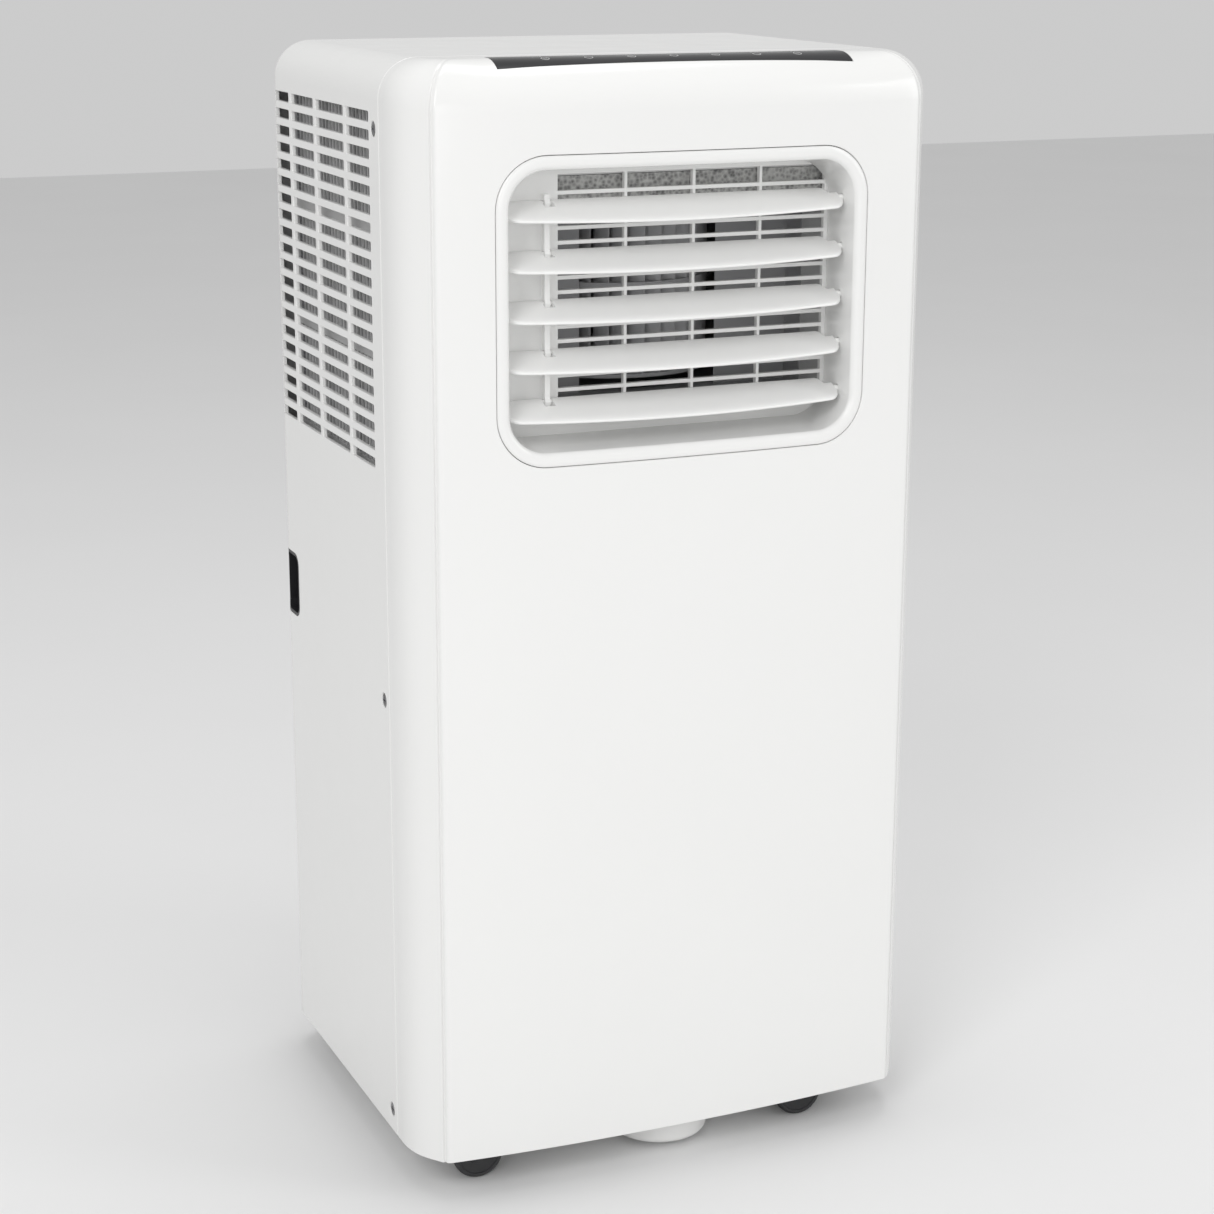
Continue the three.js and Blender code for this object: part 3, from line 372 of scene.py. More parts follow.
# ---------------------------------------------------------------------------------------------
# Casters. Each is a hooded fork on a steel stem with a pair of nylon wheels on one axle, which
# trails to one side. The hood and fork are one moulding; the wheels have a raised hub cap.
# ---------------------------------------------------------------------------------------------
CASTER_BLACK = moulded_plastic("caster_black", (0.022, 0.022, 0.024), 0.42, grain=0.5)
WHEEL_BLACK = moulded_plastic("wheel_black", (0.03, 0.03, 0.032), 0.55, grain=0.8, grain_size=0.0009)
TRAIL = 12 * MM
WHEEL_R = 16 * MM
WHEEL_ROOM_R = 17 * MM
WHEEL_ROOMS = ((-10.6, -2.4), (2.4, 10.6))
WEB_HALF_T = 2.2 * MM
AXLE_R = 2 * MM
AXLE_BORE_R = 2.4 * MM
HOOD = ((0, -10.5), (17.6, -10.5), (18.6, -10), (19, -8.8), (19, 8.8), (18.6, 10), (17.6, 10.5), (0, 10.5))
NECK = ((0, 30), (8, 30), (7, 33), (7, 40.4), (6.4, 41), (0, 41))
STEM_PIN = ((0, 40.5), (4, 40.5), (4, 51.2), (3.2, 52), (0, 52))
WHEEL = ((0, 2.7), (13.5, 2.7), (15, 3.2), (15.8, 4.4), (16, 6), (15.9, 8), (15.2, 9.4), (14.2, 10),
         (13, 9.8), (12.6, 9.2), (7, 8.8), (6.4, 9.2), (6, 10.2), (5, 10.4), (0, 10.4))


def rectangle(a0, a1, b0, b1):
    return [(a0, b0), (a1, b0), (a1, b1), (a0, b1)]


def block(name, low, high):
    return prism(name, rectangle(low[0], high[0], low[1], high[1]), low[2], high[2])


for body, stem in STEMS.items():
    hub = Vector((stem.x - TRAIL, stem.y, WHEEL_R))
    foot = (stem.x, stem.y, 0)
    hood = turned("hood", drawn(HOOD), 56, "y", hub)
    above = block("above", (stem.x - 40 * MM, stem.y - 20 * MM, WHEEL_R + 3 * MM),
                  (stem.x + 20 * MM, stem.y + 20 * MM, 60 * MM))
    carved(hood, above, operation="INTERSECT")
    carved(hood, turned("neck", drawn(NECK), 32, centre=foot), operation="UNION")
    rooms = [turned("room", rod(WHEEL_ROOM_R, a * MM, b * MM), 56, "y", hub) for a, b in WHEEL_ROOMS]
    carved(hood, *rooms)
    web = block("web", (hub.x - 7 * MM, stem.y - WEB_HALF_T, WHEEL_R - 5 * MM),
                (stem.x + 4 * MM, stem.y + WEB_HALF_T, WHEEL_R + 12 * MM))
    carved(hood, web, operation="UNION")
    carved(hood, turned("bore", rod(AXLE_BORE_R, -20 * MM, 20 * MM), 24, "y", hub))
    pin = turned("pin", drawn(STEM_PIN), 32, centre=foot)
    fork = merged(body + "_fork", [hood, pin])
    fit(smoothed(fork), body, "black_plastic", CASTER_BLACK, body)
    sides = [turned("disc", drawn(WHEEL, side), 64, "y", hub) for side in (-1, 1)]
    axle = turned("axle", rod(AXLE_R, -3 * MM, 3 * MM), 24, "y", hub)
    wheels_name = body.replace("caster_", "caster_wheels_")
    wheels = merged(wheels_name + "_pair", sides + [axle])
    fit(smoothed(wheels), wheels_name, "wheel_rubber", WHEEL_BLACK, wheels_name)

# ---------------------------------------------------------------------------------------------
# Cooling circuit. Fin packs of aluminium sheet on copper tube, an enamelled compressor with its
# accumulator, and drawn copper pipes. They keep the frame's own solids.
# ---------------------------------------------------------------------------------------------


def dress(material, *nodes):
    """Gives CAD nodes that keep their own shape a material."""
    for name in nodes:
        mesh = frame["nodes"][name].data
        mesh.materials.clear()
        mesh.materials.append(material)


def fin_stock(name):
    """Fin sheet seen edge on: narrow bright edges, a little bent here and there, with painted shade in the
    dark gaps between them.
    """
    finish = Finish(name, {"Metallic": 0.85})
    bent = finish.noise(0.02, 3)
    along = finish.axis("X") + finish.axis("Y")
    wave = finish.node("ShaderNodeMath", {"operation": "SINE"}, {0: (along + bent * 0.0006) * 3490})
    mask = wave > -0.2
    # The dark colour is painted shade in the gaps between the fins; the light one is the fins' own metal.
    finish.feed("Base Color", finish.blend_colours(mask, (0.10, 0.10, 0.11), (0.66, 0.67, 0.69)))
    finish.feed("Roughness", 0.35 + finish.noise(0.01, 4) * 0.2)
    finish.bump(wave, 0.6, 0.0003)
    return finish.material


def metal(name, colour, stain, roughness, lump=0.02, grain=0.2):
    """Bare metal with a stain that gathers in patches, and a fine drawn or rolled grain."""
    finish = Finish(name, {"Metallic": 0.95})
    patches = finish.node("ShaderNodeValToRGB", {"stops": [(0.45, (0, 0, 0)), (0.7, (1, 1, 1))]},
                          {"Fac": finish.noise(lump, 5)})
    finish.feed("Base Color", finish.blend_colours(patches, colour, stain))
    finish.feed("Roughness", roughness + finish.noise(lump / 3, 4) * 0.15)
    finish.bump(finish.noise(0.0008, 2), grain, 0.00005)
    return finish.material


FIN_STOCK_WITH_GAP_SHADE = fin_stock("fin_stock")
COPPER = metal("drawn_copper", (0.78, 0.42, 0.27), (0.42, 0.20, 0.12), 0.3)
ZINC_SHEET = metal("zinc_sheet", (0.62, 0.63, 0.65), (0.48, 0.49, 0.50), 0.38)
ENAMEL = moulded_plastic("black_enamel", (0.018, 0.018, 0.02), 0.3, grain=0.2, drift=0.2, grain_size=0.002)
dress(FIN_STOCK_WITH_GAP_SHADE, "evaporator", "condenser")
dress(COPPER, "suction_pipe", "discharge_pipe", "capillary_tube")
dress(ENAMEL, "compressor", "accumulator")
dress(ZINC_SHEET, "control_box", "supply_motor", "exhaust_motor", "splash_motor", "run_capacitor")

# ---------------------------------------------------------------------------------------------
# Circuit boards. Glass-epoxy boards with green solder mask over etched copper tracks, one under
# the control strip and one in the control box. They keep the frame's own solids.
# ---------------------------------------------------------------------------------------------
board = Finish("circuit_board", {"Roughness": 0.35})
tracks = board.node("ShaderNodeTexVoronoi", {"distance": "MANHATTAN"},
                    {"Vector": board.place, "Scale": 260.0})
is_track = board.node("ShaderNodeMath", {"operation": "LESS_THAN"}, {0: tracks, 1: 0.35})
board.feed("Base Color", board.blend_colours(is_track, (0.010, 0.085, 0.035), (0.03, 0.17, 0.07)))
board.bump(is_track, 0.4, 0.00005)
dress(board.material, "display_board", "control_board")

# ---------------------------------------------------------------------------------------------
# Blowers, scrolls and ducts. Grey polypropylene mouldings. The supply wheel's curved blades stand
# upright between a back plate, a middle ring and an end ring, and are set round by a node tree.
# ---------------------------------------------------------------------------------------------
DUCT_GREY = moulded_plastic("duct_grey", (0.36, 0.36, 0.37), 0.6, grain=0.5, drift=0.15)
WHEEL_GREY = moulded_plastic("blower_grey", (0.42, 0.42, 0.43), 0.5, grain=0.4, drift=0.12)
TRAY_GREY = moulded_plastic("tray_grey", (0.22, 0.22, 0.23), 0.65, grain=0.5, drift=0.1)
DUCT_PALE = moulded_plastic("duct_pale", (0.62, 0.62, 0.62), 0.6, grain=0.4, drift=0.1)
dress(DUCT_PALE, "outlet_duct")
dress(DUCT_GREY, "supply_scroll", "exhaust_duct")
dress(TRAY_GREY, "exhaust_scroll", "drain_tray", "splash_wheel")


def repeated(part, count, step=(0, 0, 0), turn=0.0, material=None):
    """Copies of a part along a line, each turned further about the Z axis, by a Geometry Nodes tree."""
    tree = bpy.data.node_groups.new(part.name + "_row", "GeometryNodeTree")
    sockets = {"Count": "NodeSocketInt", "Step": "NodeSocketVector", "Turn": "NodeSocketFloat",
               "Material": "NodeSocketMaterial"}
    tree.interface.new_socket("Geometry", in_out="INPUT", socket_type="NodeSocketGeometry")
    identifiers = {name: tree.interface.new_socket(name, in_out="INPUT", socket_type=kind).identifier
                   for name, kind in sockets.items()}
    tree.interface.new_socket("Geometry", in_out="OUTPUT", socket_type="NodeSocketGeometry")
    entry, row, copies, index, angle, turned_by, whole, coat, leave = (tree.nodes.new(kind) for kind in (
        "NodeGroupInput", "GeometryNodeMeshLine", "GeometryNodeInstanceOnPoints", "GeometryNodeInputIndex",
        "ShaderNodeMath", "ShaderNodeCombineXYZ", "GeometryNodeRealizeInstances", "GeometryNodeSetMaterial",
        "NodeGroupOutput"))
    angle.operation = "MULTIPLY"
    for source, target in (
            (entry.outputs["Count"], row.inputs["Count"]), (entry.outputs["Step"], row.inputs["Offset"]),
            (row.outputs[0], copies.inputs["Points"]), (entry.outputs["Geometry"], copies.inputs["Instance"]),
            (index.outputs[0], angle.inputs[0]), (entry.outputs["Turn"], angle.inputs[1]),
            (angle.outputs[0], turned_by.inputs["Z"]), (turned_by.outputs[0], copies.inputs["Rotation"]),
            (copies.outputs[0], whole.inputs[0]), (whole.outputs[0], coat.inputs["Geometry"]),
            (entry.outputs["Material"], coat.inputs["Material"]), (coat.outputs[0], leave.inputs[0])):
        tree.links.new(source, target)
    modifier = part.modifiers.new("row", "NODES")
    modifier.node_group = tree
    for name, value in (("Count", count), ("Step", step), ("Turn", turn), ("Material", material)):
        modifier[identifiers[name]] = value
    return settled(part)


def blower_blade(radius, depth, half_height):
    """One forward-curved blade as a thin curved sheet, standing beside the axis."""
    thickness = 0.9 * MM
    outer = []
    inner = []
    for k in range(7):
        t = k / 6
        r = radius - depth + depth * t
        angle = 0.16 * t * t
        outer.append((r * math.cos(angle), r * math.sin(angle)))
        inner.append((r * math.cos(angle) + thickness * math.sin(angle + 0.5) * 0.4,
                      r * math.sin(angle) - thickness))
    return prism("blade", outer + inner[::-1], -half_height, half_height)


def blower_drum(name, node, body, count, axis):
    low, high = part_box(node)
    centre = (low + high) / 2
    size = high - low
    radius = size.x / 2
    half = (size.z if axis == "z" else size.y) / 2
    blade = blower_blade(radius - 0.8 * MM, 11 * MM, half - MM)
    blades = repeated(blade, count, turn=2 * math.pi / count, material=WHEEL_GREY)
    flip = -1 if axis == "z" else 1
    inside = radius - 12.5 * MM
    rim = [(inside, -1.6 * MM), (radius, -1.6 * MM), (radius, 1.6 * MM), (inside, 1.6 * MM)]
    end = half * -flip
    lip = [(inside, end), (radius, end), (radius, end + flip * 3 * MM), (inside, end + flip * 3 * MM)]
    base = half * flip
    plate = [(5 * MM, base), (radius, base), (radius, base - flip * 2.2 * MM),
             (13 * MM, base - flip * 3 * MM), (11 * MM, base - flip * 25 * MM),
             (5 * MM, base - flip * 25 * MM)]
    rings = [turned("ring", profile, 72) for profile in (rim, lip, plate)]
    drum = merged(name, [blades] + rings)
    turn = Matrix.Identity(4) if axis == "z" else Matrix.Rotation(math.pi / 2, 4, "X")
    drum.data.transform(Matrix.Translation(centre) @ turn)
    fit(smoothed(drum), body, "grey_plastic", WHEEL_GREY, node)


blower_drum("supply_drum", "supply_blower_wheel", "supply_wheel", 36, "z")
blower_drum("exhaust_drum", "exhaust_blower_wheel", "exhaust_wheel", 32, "y")

# Insulation foam glued under the duct's roof, with torn open pores painted darker at their centres as shade.
foam = Finish("insulation_foam", {"Roughness": 0.95})
pore_cells_with_shade = foam.node("ShaderNodeTexVoronoi", inputs={"Vector": foam.place, "Scale": 420.0})
clumps = foam.noise(0.018, 6)
# Painted shade: the pore cells darken towards their centres. The clumps vary the tone at random.
shade = foam.node("ShaderNodeValToRGB", {"stops": [(0.3, (0.10, 0.10, 0.10)), (0.75, (0.50, 0.50, 0.49))]},
                  {"Fac": clumps * 0.7 + pore_cells_with_shade * 0.5})
foam.feed("Base Color", shade)
foam.bump(clumps + pore_cells_with_shade, 0.9, 0.0012)
dress(foam.material, "foam_liner")

# ---------------------------------------------------------------------------------------------
# Rear grilles, exhaust collar, cord gland and drain caps. Moulded in white and black ABS: the
# lower grille and collar are fixed in the rear shell, and the upper grille and the caps pull out.
# They keep the frame's shape, on clean faces with their moulded edges rounded over.
# ---------------------------------------------------------------------------------------------


def rounded_edges(piece, width, segments=2, degrees=40):
    bevel = piece.modifiers.new("edges", "BEVEL")
    bevel.width = width
    bevel.segments = segments
    bevel.limit_method = "ANGLE"
    bevel.angle_limit = math.radians(degrees)
    return settled(piece)


def softened(node, body, slot, material, width=0.5 * MM, segments=2):
    """A clean copy of a CAD node with rounded edges, which stands for it."""
    worked = bmesh.new()
    worked.from_mesh(frame["nodes"][node].data)
    bmesh.ops.remove_doubles(worked, verts=worked.verts, dist=2e-6)
    bmesh.ops.dissolve_limit(worked, angle_limit=math.radians(0.5), verts=worked.verts, edges=worked.edges)
    mesh = bpy.data.meshes.new(node + "_moulding")
    worked.to_mesh(mesh)
    worked.free()
    made = bpy.data.objects.new(node + "_moulding", mesh)
    bpy.context.scene.collection.objects.link(made)
    return fit(smoothed(rounded_edges(made, width, segments)), body, slot, material, node)


SHELL_WHITE = moulded_plastic("shell_white", (0.83, 0.83, 0.82), 0.24, grain=0.10, drift=0.02,
                              grain_size=0.0012, coat=0.25)
CUP_BLACK = moulded_plastic("cup_black", (0.016, 0.016, 0.018), 0.4, grain=0.6)
for node in ("rear_grille", "lower_grille"):
    softened(node, "rear_door" if node == "rear_grille" else "casing", "shell_white", SHELL_WHITE)
for node in ("exhaust_collar", "cord_gland"):
    softened(node, "casing", "black_plastic", CUP_BLACK, 0.4 * MM)
for node in ("drain_cap_lower", "drain_cap_upper"):
    softened(node, node, "black_plastic", CUP_BLACK, 0.4 * MM)

# Filter net of woven polypropylene, for the rear filter and, further on, the side filters, with painted shade
# in its gaps.
net = Finish("filter_net", {"Roughness": 0.7})
weave = [net.node("ShaderNodeMath", {"operation": "SINE"}, {0: net.axis(axis) * 2500}) for axis in "XYZ"]
strands_over_gap_shade = (weave[0] > 0.2) + (weave[1] > 0.2) + (weave[2] > 0.2)
# The near-black colour is painted shade in the gaps between the strands.
net.feed("Base Color", net.blend_colours(strands_over_gap_shade * 0.4, (0.02, 0.02, 0.022), (0.20, 0.20, 0.21)))
net.bump(strands_over_gap_shade, 0.8, 0.0003)
dress(net.material, "rear_filter")

# ---------------------------------------------------------------------------------------------
# Outlet grid. A white moulded lattice of thin bars across the duct's mouth, with a plain wall at
# its left end that hides the link.
# ---------------------------------------------------------------------------------------------
LOUVRE_WHITE = moulded_plastic("louvre_white", (0.88, 0.88, 0.87), 0.3, grain=0.15, drift=0.015)
softened("outlet_grid", "casing", "louvre_white", LOUVRE_WHITE, 0.35 * MM)

# ---------------------------------------------------------------------------------------------
# Louvres. Five bowed blades moulded in white ABS, each turning on two end pins in the bezel. A
# pin in a notch at each blade's rear left carries the upright link that makes them move as one.
# ---------------------------------------------------------------------------------------------
LOUVRE_HALF_W = 105.6 * MM
REST_TILT = math.radians(22)
LINK_X = -76 * MM
LINK_ARM = 9.2 * MM
BLADE_HALF_T = 1.4 * MM
BLADE_TURN = 8 * MM
NOTCH_HALF_W = 3.2 * MM
PIVOT_PIN_R = 2 * MM
LINK_PIN_R = 1.2 * MM


def blade_span(x):
    """Front and rear edge of a louvre at x, measured back from its pivot."""
    share = abs(x) / LOUVRE_HALF_W
    front = (-17 + 6 * share * share) * MM
    past = max(0.0, abs(x) - (LOUVRE_HALF_W - BLADE_TURN)) / BLADE_TURN
    front += BLADE_TURN * (1 - math.sqrt(max(0.0, 1 - past * past)))
    step = min(1.0, max(0.0, (abs(x) - 98.5 * MM) / (2.5 * MM)))
    return front, (12 - 6.5 * step * step * (3 - 2 * step)) * MM


def blade_ring(x, pivot):
    front, rear = blade_span(x)
    ring = []
    for k in range(28):
        angle = 2 * math.pi * k / 28
        c, s = math.cos(angle), math.sin(angle)
        along = (front + rear) / 2 + (rear - front) / 2 * math.copysign(abs(c) ** 0.35, c)
        up = BLADE_HALF_T * math.copysign(abs(s) ** 0.7, s)
        ring.append((x, pivot.y + along * math.cos(REST_TILT) - up * math.sin(REST_TILT),
                     pivot.z + along * math.sin(REST_TILT) + up * math.cos(REST_TILT)))
    return ring


PIVOTS = {joint["child"]: Vector(joint["pos_m"]) for joint in frame["joints"]
          if joint["child"].startswith("louvre_")}
for body, pivot in PIVOTS.items():
    stations = [LOUVRE_HALF_W * math.sin(math.pi / 2 * k / 40) for k in range(-40, 41)]
    blade = skinned("blade", [blade_ring(x, pivot) for x in stations])
    notch = block("notch", (LINK_X - NOTCH_HALF_W, LINK_ARM - 7.2 * MM, -4 * MM),
                  (LINK_X + NOTCH_HALF_W, 14 * MM, 4 * MM))
    notch.data.transform(Matrix.Translation((0, pivot.y, pivot.z)) @ Matrix.Rotation(REST_TILT, 4, "X"))
    carved(blade, notch)
    link_at = pivot + Vector((0, LINK_ARM * math.cos(REST_TILT), LINK_ARM * math.sin(REST_TILT)))
    pin_spans = ((-110, -105, PIVOT_PIN_R, pivot), (105, 110, PIVOT_PIN_R, pivot),
                 (-80.5, -71.5, LINK_PIN_R, link_at))
    pins = [turned("pin", rod(radius, a * MM, b * MM), 24, "x", (0, at.y, at.z))
            for a, b, radius, at in pin_spans]
    louvre = merged(body + "_blade", [blade] + pins)
    fit(smoothed(louvre), body, "louvre_white", LOUVRE_WHITE, body)
softened("link_bar", "link_bar", "louvre_white", LOUVRE_WHITE, 0.4 * MM)

# ---------------------------------------------------------------------------------------------
# Bezel. A white ring that lines the outlet's recess: a low rounded bead stands round its rim, set
# off from the shell by a fine gap, and its walls draw in a little towards the grid.
# ---------------------------------------------------------------------------------------------
def rounded_outline(half_w, half_h, radius, steps=10, centre=(0, 0), spans=1):
    """A rectangle with round corners, whose straight stretches are divided into spans."""
    corners = []
    for corner, (sx, sy) in enumerate(((1, 1), (-1, 1), (-1, -1), (1, -1))):
        turn = [(corner + step / steps) * math.pi / 2 for step in range(steps + 1)]
        corners.append([(centre[0] + sx * (half_w - radius) + radius * math.cos(angle),
                         centre[1] + sy * (half_h - radius) + radius * math.sin(angle)) for angle in turn])
    points = []
    for corner, following in zip(corners, corners[1:] + corners[:1]):
        points += corner
        start, end = Vector(corner[-1]), Vector(following[0])
        points += [tuple(start.lerp(end, k / spans)) for k in range(1, spans)]
    return points


VENT_Z = 533.6 * MM
BEZEL = (115.5 * MM, 87 * MM, 30 * MM)
GRID_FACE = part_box("outlet_grid")[0].y
BEAD = ((0, 0.95), (0.12, 0.5), (0.5, 0.1), (1.3, -0.22), (2.6, -0.4), (3.8, -0.38), (5.0, -0.2), (6.0, 0.2),
        (6.9, 0.85), (7.6, 1.7), (8, 2.8))


def bezel_rim(inset, depth_at, shrink=0.0):
    """A closed line round the outlet, inset from the bezel's outer edge."""
    half_w, half_h, radius = (size - inset for size in BEZEL)
    outline = rounded_outline(half_w, half_h - shrink, radius, 14, (0, VENT_Z), 20)
    return [(x, depth_at(x), z) for x, z in outline]


def bowed(offset):
    return lambda x: face_y(x) + offset * MM


rims = [bezel_rim(inset * MM, bowed(offset)) for inset, offset in BEAD]
BEZEL_DRAW = 3 * MM
PIVOT_BORE_R = 2.4 * MM
wall_y = GRID_FACE - 0.3 * MM
for share in (0.25, 0.5, 0.75, 1.0):
    rims.append(bezel_rim(8 * MM,
                          lambda x, share=share: (face_y(x) + 2.8 * MM) * (1 - share) + wall_y * share,
                          BEZEL_DRAW * share ** 1.5))
rims.append(bezel_rim(5.6 * MM, lambda x: wall_y, BEZEL_DRAW))
rims.append(bezel_rim(5.6 * MM, bowed(6.5)))
rims.append(bezel_rim(0, bowed(6)))
bezel = skinned("vent_bezel_ring", rims, closed_path=True)
for pivot in PIVOTS.values():
    carved(bezel, turned("bore", rod(PIVOT_BORE_R, -120 * MM, 120 * MM), 20, "x", (0, pivot.y, pivot.z)))
fit(smoothed(bezel), "casing", "shell_white", SHELL_WHITE, "vent_bezel")

# ---------------------------------------------------------------------------------------------
# Front and rear shells. Both are moulded in glossy white ABS. The front has a bowed face with a
# fine groove down each side edge; the rear wraps the sides, with rows of intake slots. They meet
# in a soft seam that runs up the sides and over the top.
# ---------------------------------------------------------------------------------------------


def casing_loft(name, inset, groove, low):
    plan = []
    for x, y, out, lean in full_outline(groove):
        out, lean = math.radians(out), math.radians(lean)
        bend = EDGE_R + FRONT_EDGE_EXTRA * max(0, -math.sin(lean)) - inset
        plan.append((x - inset * math.cos(out), y - inset * math.sin(out),
                     math.cos(lean), math.sin(lean), bend))
    rings = [[(x, y, low) for x, y, _, _, _ in plan]]
    for k in range(15):
        angle = math.pi / 2 * k / 14
        inward = 1 - math.cos(angle)
        rings.append([(x - a * bend * inward, y - b * bend * inward,
                       TOP_Z - inset - bend * (1 - math.sin(angle))) for x, y, a, b, bend in plan])
    return skinned(name, rings)


def duplicate(piece, name):
    made = bpy.data.objects.new(name, piece.data.copy())
    bpy.context.scene.collection.objects.link(made)
    return made


SEAM_GAP = 0.15 * MM
BEYOND = 0.2
OVER_TOP = 0.7
skin = carved(casing_loft("skin", 0, True, FOOT_Z), casing_loft("hollow", WALL, False, FOOT_Z - 5 * MM))

# The seam's soft shoulders, cut along an arch over the casing.
arch = [(HALF_W, 20 * MM, 1, 0)] + [(HALF_W, z * MM, 1, 0) for z in (200, 400, 600)]
for k in range(13):
    angle = math.pi / 2 * k / 12
    arch.append((HALF_W - EDGE_R + EDGE_R * math.cos(angle), TOP_Z - EDGE_R + EDGE_R * math.sin(angle),
                 math.cos(angle), math.sin(angle)))
arch += [(-x, z, -a, b) for x, z, a, b in reversed(arch)]
groove = []
for x, z, a, b in arch:
    ring = [(x + a * MM, SEAM_Y + s * MM, z + b * MM) for s in (1.6, -1.6)]
    for k in range(-8, 9):
        s = k / 5
        depth = (0.03 - 0.62 * math.exp(-(s / 0.55) ** 2)) * MM
        ring.append((x + a * depth, SEAM_Y + s * MM, z + b * depth))
    groove.append(ring)
carved(skin, skinned("seam_groove", groove))

front = carved(duplicate(skin, "front_shell_moulding"),
               block("ahead", (-BEYOND, -BEYOND, 0), (BEYOND, SEAM_Y - SEAM_GAP, OVER_TOP)),
               operation="INTERSECT")
rear = carved(duplicate(skin, "rear_shell_moulding"),
              block("behind", (-BEYOND, SEAM_Y + SEAM_GAP, 0), (BEYOND, BEYOND, OVER_TOP)),
              operation="INTERSECT")
bpy.data.objects.remove(skin)

# Openings in the front shell: the outlet, the control strip's pocket and the window for its board.
MOUTH_EASE = ((-1.3, -0.3), (-0.45, 0.25), (-0.3, 1.0))
mouth = [bezel_rim(-1.6 * MM, lambda x: -BEYOND)]
mouth += [bezel_rim(inset * MM, bowed(offset)) for inset, offset in MOUTH_EASE]
mouth.append(bezel_rim(-0.3 * MM, lambda x: -0.1))
carved(front, skinned("mouth", mouth))
STRIP_LOW, STRIP_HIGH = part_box("control_panel")
STRIP_GAP = 0.3 * MM
STRIP_DEPTH = 1.1 * MM


def strip_block(margin, depth, corner=0.3 * MM):
    """The strip's outline, carried down to a depth under the casing's rounded top edge."""
    middle = (STRIP_LOW + STRIP_HIGH) / 2
    half = (STRIP_HIGH - STRIP_LOW) / 2
    outline = rounded_outline(half.x + margin, half.y + margin, corner, 4, (middle.x, middle.y), 12)
    return carved(prism("strip", outline, TOP_Z - 12 * MM, OVER_TOP),
                  casing_loft("under", depth, False, FOOT_Z))


carved(front, strip_block(STRIP_GAP, STRIP_DEPTH + STRIP_GAP),
       block("window", (-70 * MM, -117 * MM, TOP_Z - 10 * MM), (70 * MM, -104 * MM, OVER_TOP)))
fit(smoothed(front, 50), "casing", "shell_white", SHELL_WHITE, "front_shell")

# Intake slots: four columns of twenty rows in each side, their edges eased.
SLOT_ROWS = 20
SLOT_TOP_Z = 638.9 * MM
SLOT_PITCH = 10.364 * MM
SLOT_HALF_H = 2.85 * MM
SLOT_CORNER = 1.1 * MM
SLOT_COLUMNS = ((-66.3, -24.3), (-19.9, 33.5), (37.9, 83.2), (87.8, 117))
EASED = ((-17, 0), (-0.7, 0), (-0.25, 0.2), (0.15, 0.6), (5, 0.6))


def eased_hole(name, half_w, half_h, radius, centre, side):
    """A cutter for a rounded hole in a side wall, flared at the outer surface."""
    rings = []
    for out, flare in EASED:
        outline = rounded_outline(half_w + flare * MM, half_h + flare * MM, radius + flare * MM, 5, centre)
        rings.append([(side * (HALF_W + out * MM), y, z) for y, z in outline])
    return skinned(name, rings)


for side in (-1, 1):
    columns = [eased_hole("slot", (y1 - y0) / 2 * MM, SLOT_HALF_H, SLOT_CORNER,
                          ((y0 + y1) / 2 * MM, SLOT_TOP_Z), side) for y0, y1 in SLOT_COLUMNS]
    carved(rear, repeated(merged("slots", columns), SLOT_ROWS, (0, 0, -SLOT_PITCH)))

# Handle cups: a black finger hollow on each side, with round corners, set in its hole in the wall.
CUP_CORNER = 7.5 * MM
CUP_GAP = 0.3 * MM
CUP_WALL = 2 * MM
for label, side in (("left", -1), ("right", 1)):
    low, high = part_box("handle_cup_" + label)
    half_y, half_z = (high.y - low.y) / 2, (high.z - low.z) / 2
    inner_x = side * min(abs(low.x), abs(high.x))
    outer_x = side * (HALF_W + 5 * MM)

    def cup_block(margin, start):
        outline = rounded_outline(half_y + margin, half_z + margin, CUP_CORNER + margin, 8,
                                  ((low.y + high.y) / 2, (low.z + high.z) / 2))
        return prism("cup", outline, *sorted((start, outer_x)), "x")

    carved(rear, cup_block(CUP_GAP, inner_x - side * 8 * MM))
    cup = carved(cup_block(0, inner_x), cup_block(-CUP_WALL, inner_x + side * CUP_WALL))
    carved(cup, casing_loft("trim", 0.1 * MM, False, FOOT_Z), operation="INTERSECT")
    cup.name = "handle_cup_" + label + "_moulding"
    fit(smoothed(rounded_edges(cup, 0.5 * MM)), "casing", "black_plastic", CUP_BLACK, "handle_cup_" + label)

# The openings at the rear: grilles, exhaust collar, drains and gland, then the seats of the screws.
INSIDE_REAR, OUTSIDE_REAR = 0.12, 0.15
GRILLE_GAP = 0.3 * MM
HOLE_EASE = 0.5 * MM
HOLE_RADII = (("exhaust_collar", 79), ("drain_cap_lower", 11), ("drain_cap_upper", 11), ("cord_gland", 9))
for node in ("rear_grille", "lower_grille"):
    low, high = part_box(node)
    carved(rear, block("grille", (low.x - GRILLE_GAP, INSIDE_REAR, low.z - GRILLE_GAP),
                       (high.x + GRILLE_GAP, OUTSIDE_REAR, high.z + GRILLE_GAP)))
for node, radius in HOLE_RADII:
    low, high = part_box(node)
    radius *= MM
    hole = [(0, INSIDE_REAR), (radius, INSIDE_REAR), (radius, REAR_Y - HOLE_EASE),
            (radius + HOLE_EASE, REAR_Y), (radius + HOLE_EASE, OUTSIDE_REAR), (0, OUTSIDE_REAR)]
    carved(rear, turned("hole", hole, 72, "y", ((low.x + high.x) / 2, 0, (low.z + high.z) / 2)))
SCREWS = [name for name in frame["nodes"] if name.startswith("screw_")]
SEAT = ((0, -6), (2, -6), (2, -1.5), (4.3, -1.5), (4.5, -0.4), (5.0, 0.1), (5.0, 3), (0, 3))
for name in SCREWS:
    low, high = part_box(name)
    side = 1 if low.x > 0 else -1
    carved(rear, turned("seat", [(r * MM, side * (HALF_W + out * MM)) for r, out in SEAT], 40, "x",
                        (0, (low.y + high.y) / 2, (low.z + high.z) / 2)))
fit(smoothed(rear, 50), "casing", "shell_white", SHELL_WHITE, "rear_shell")

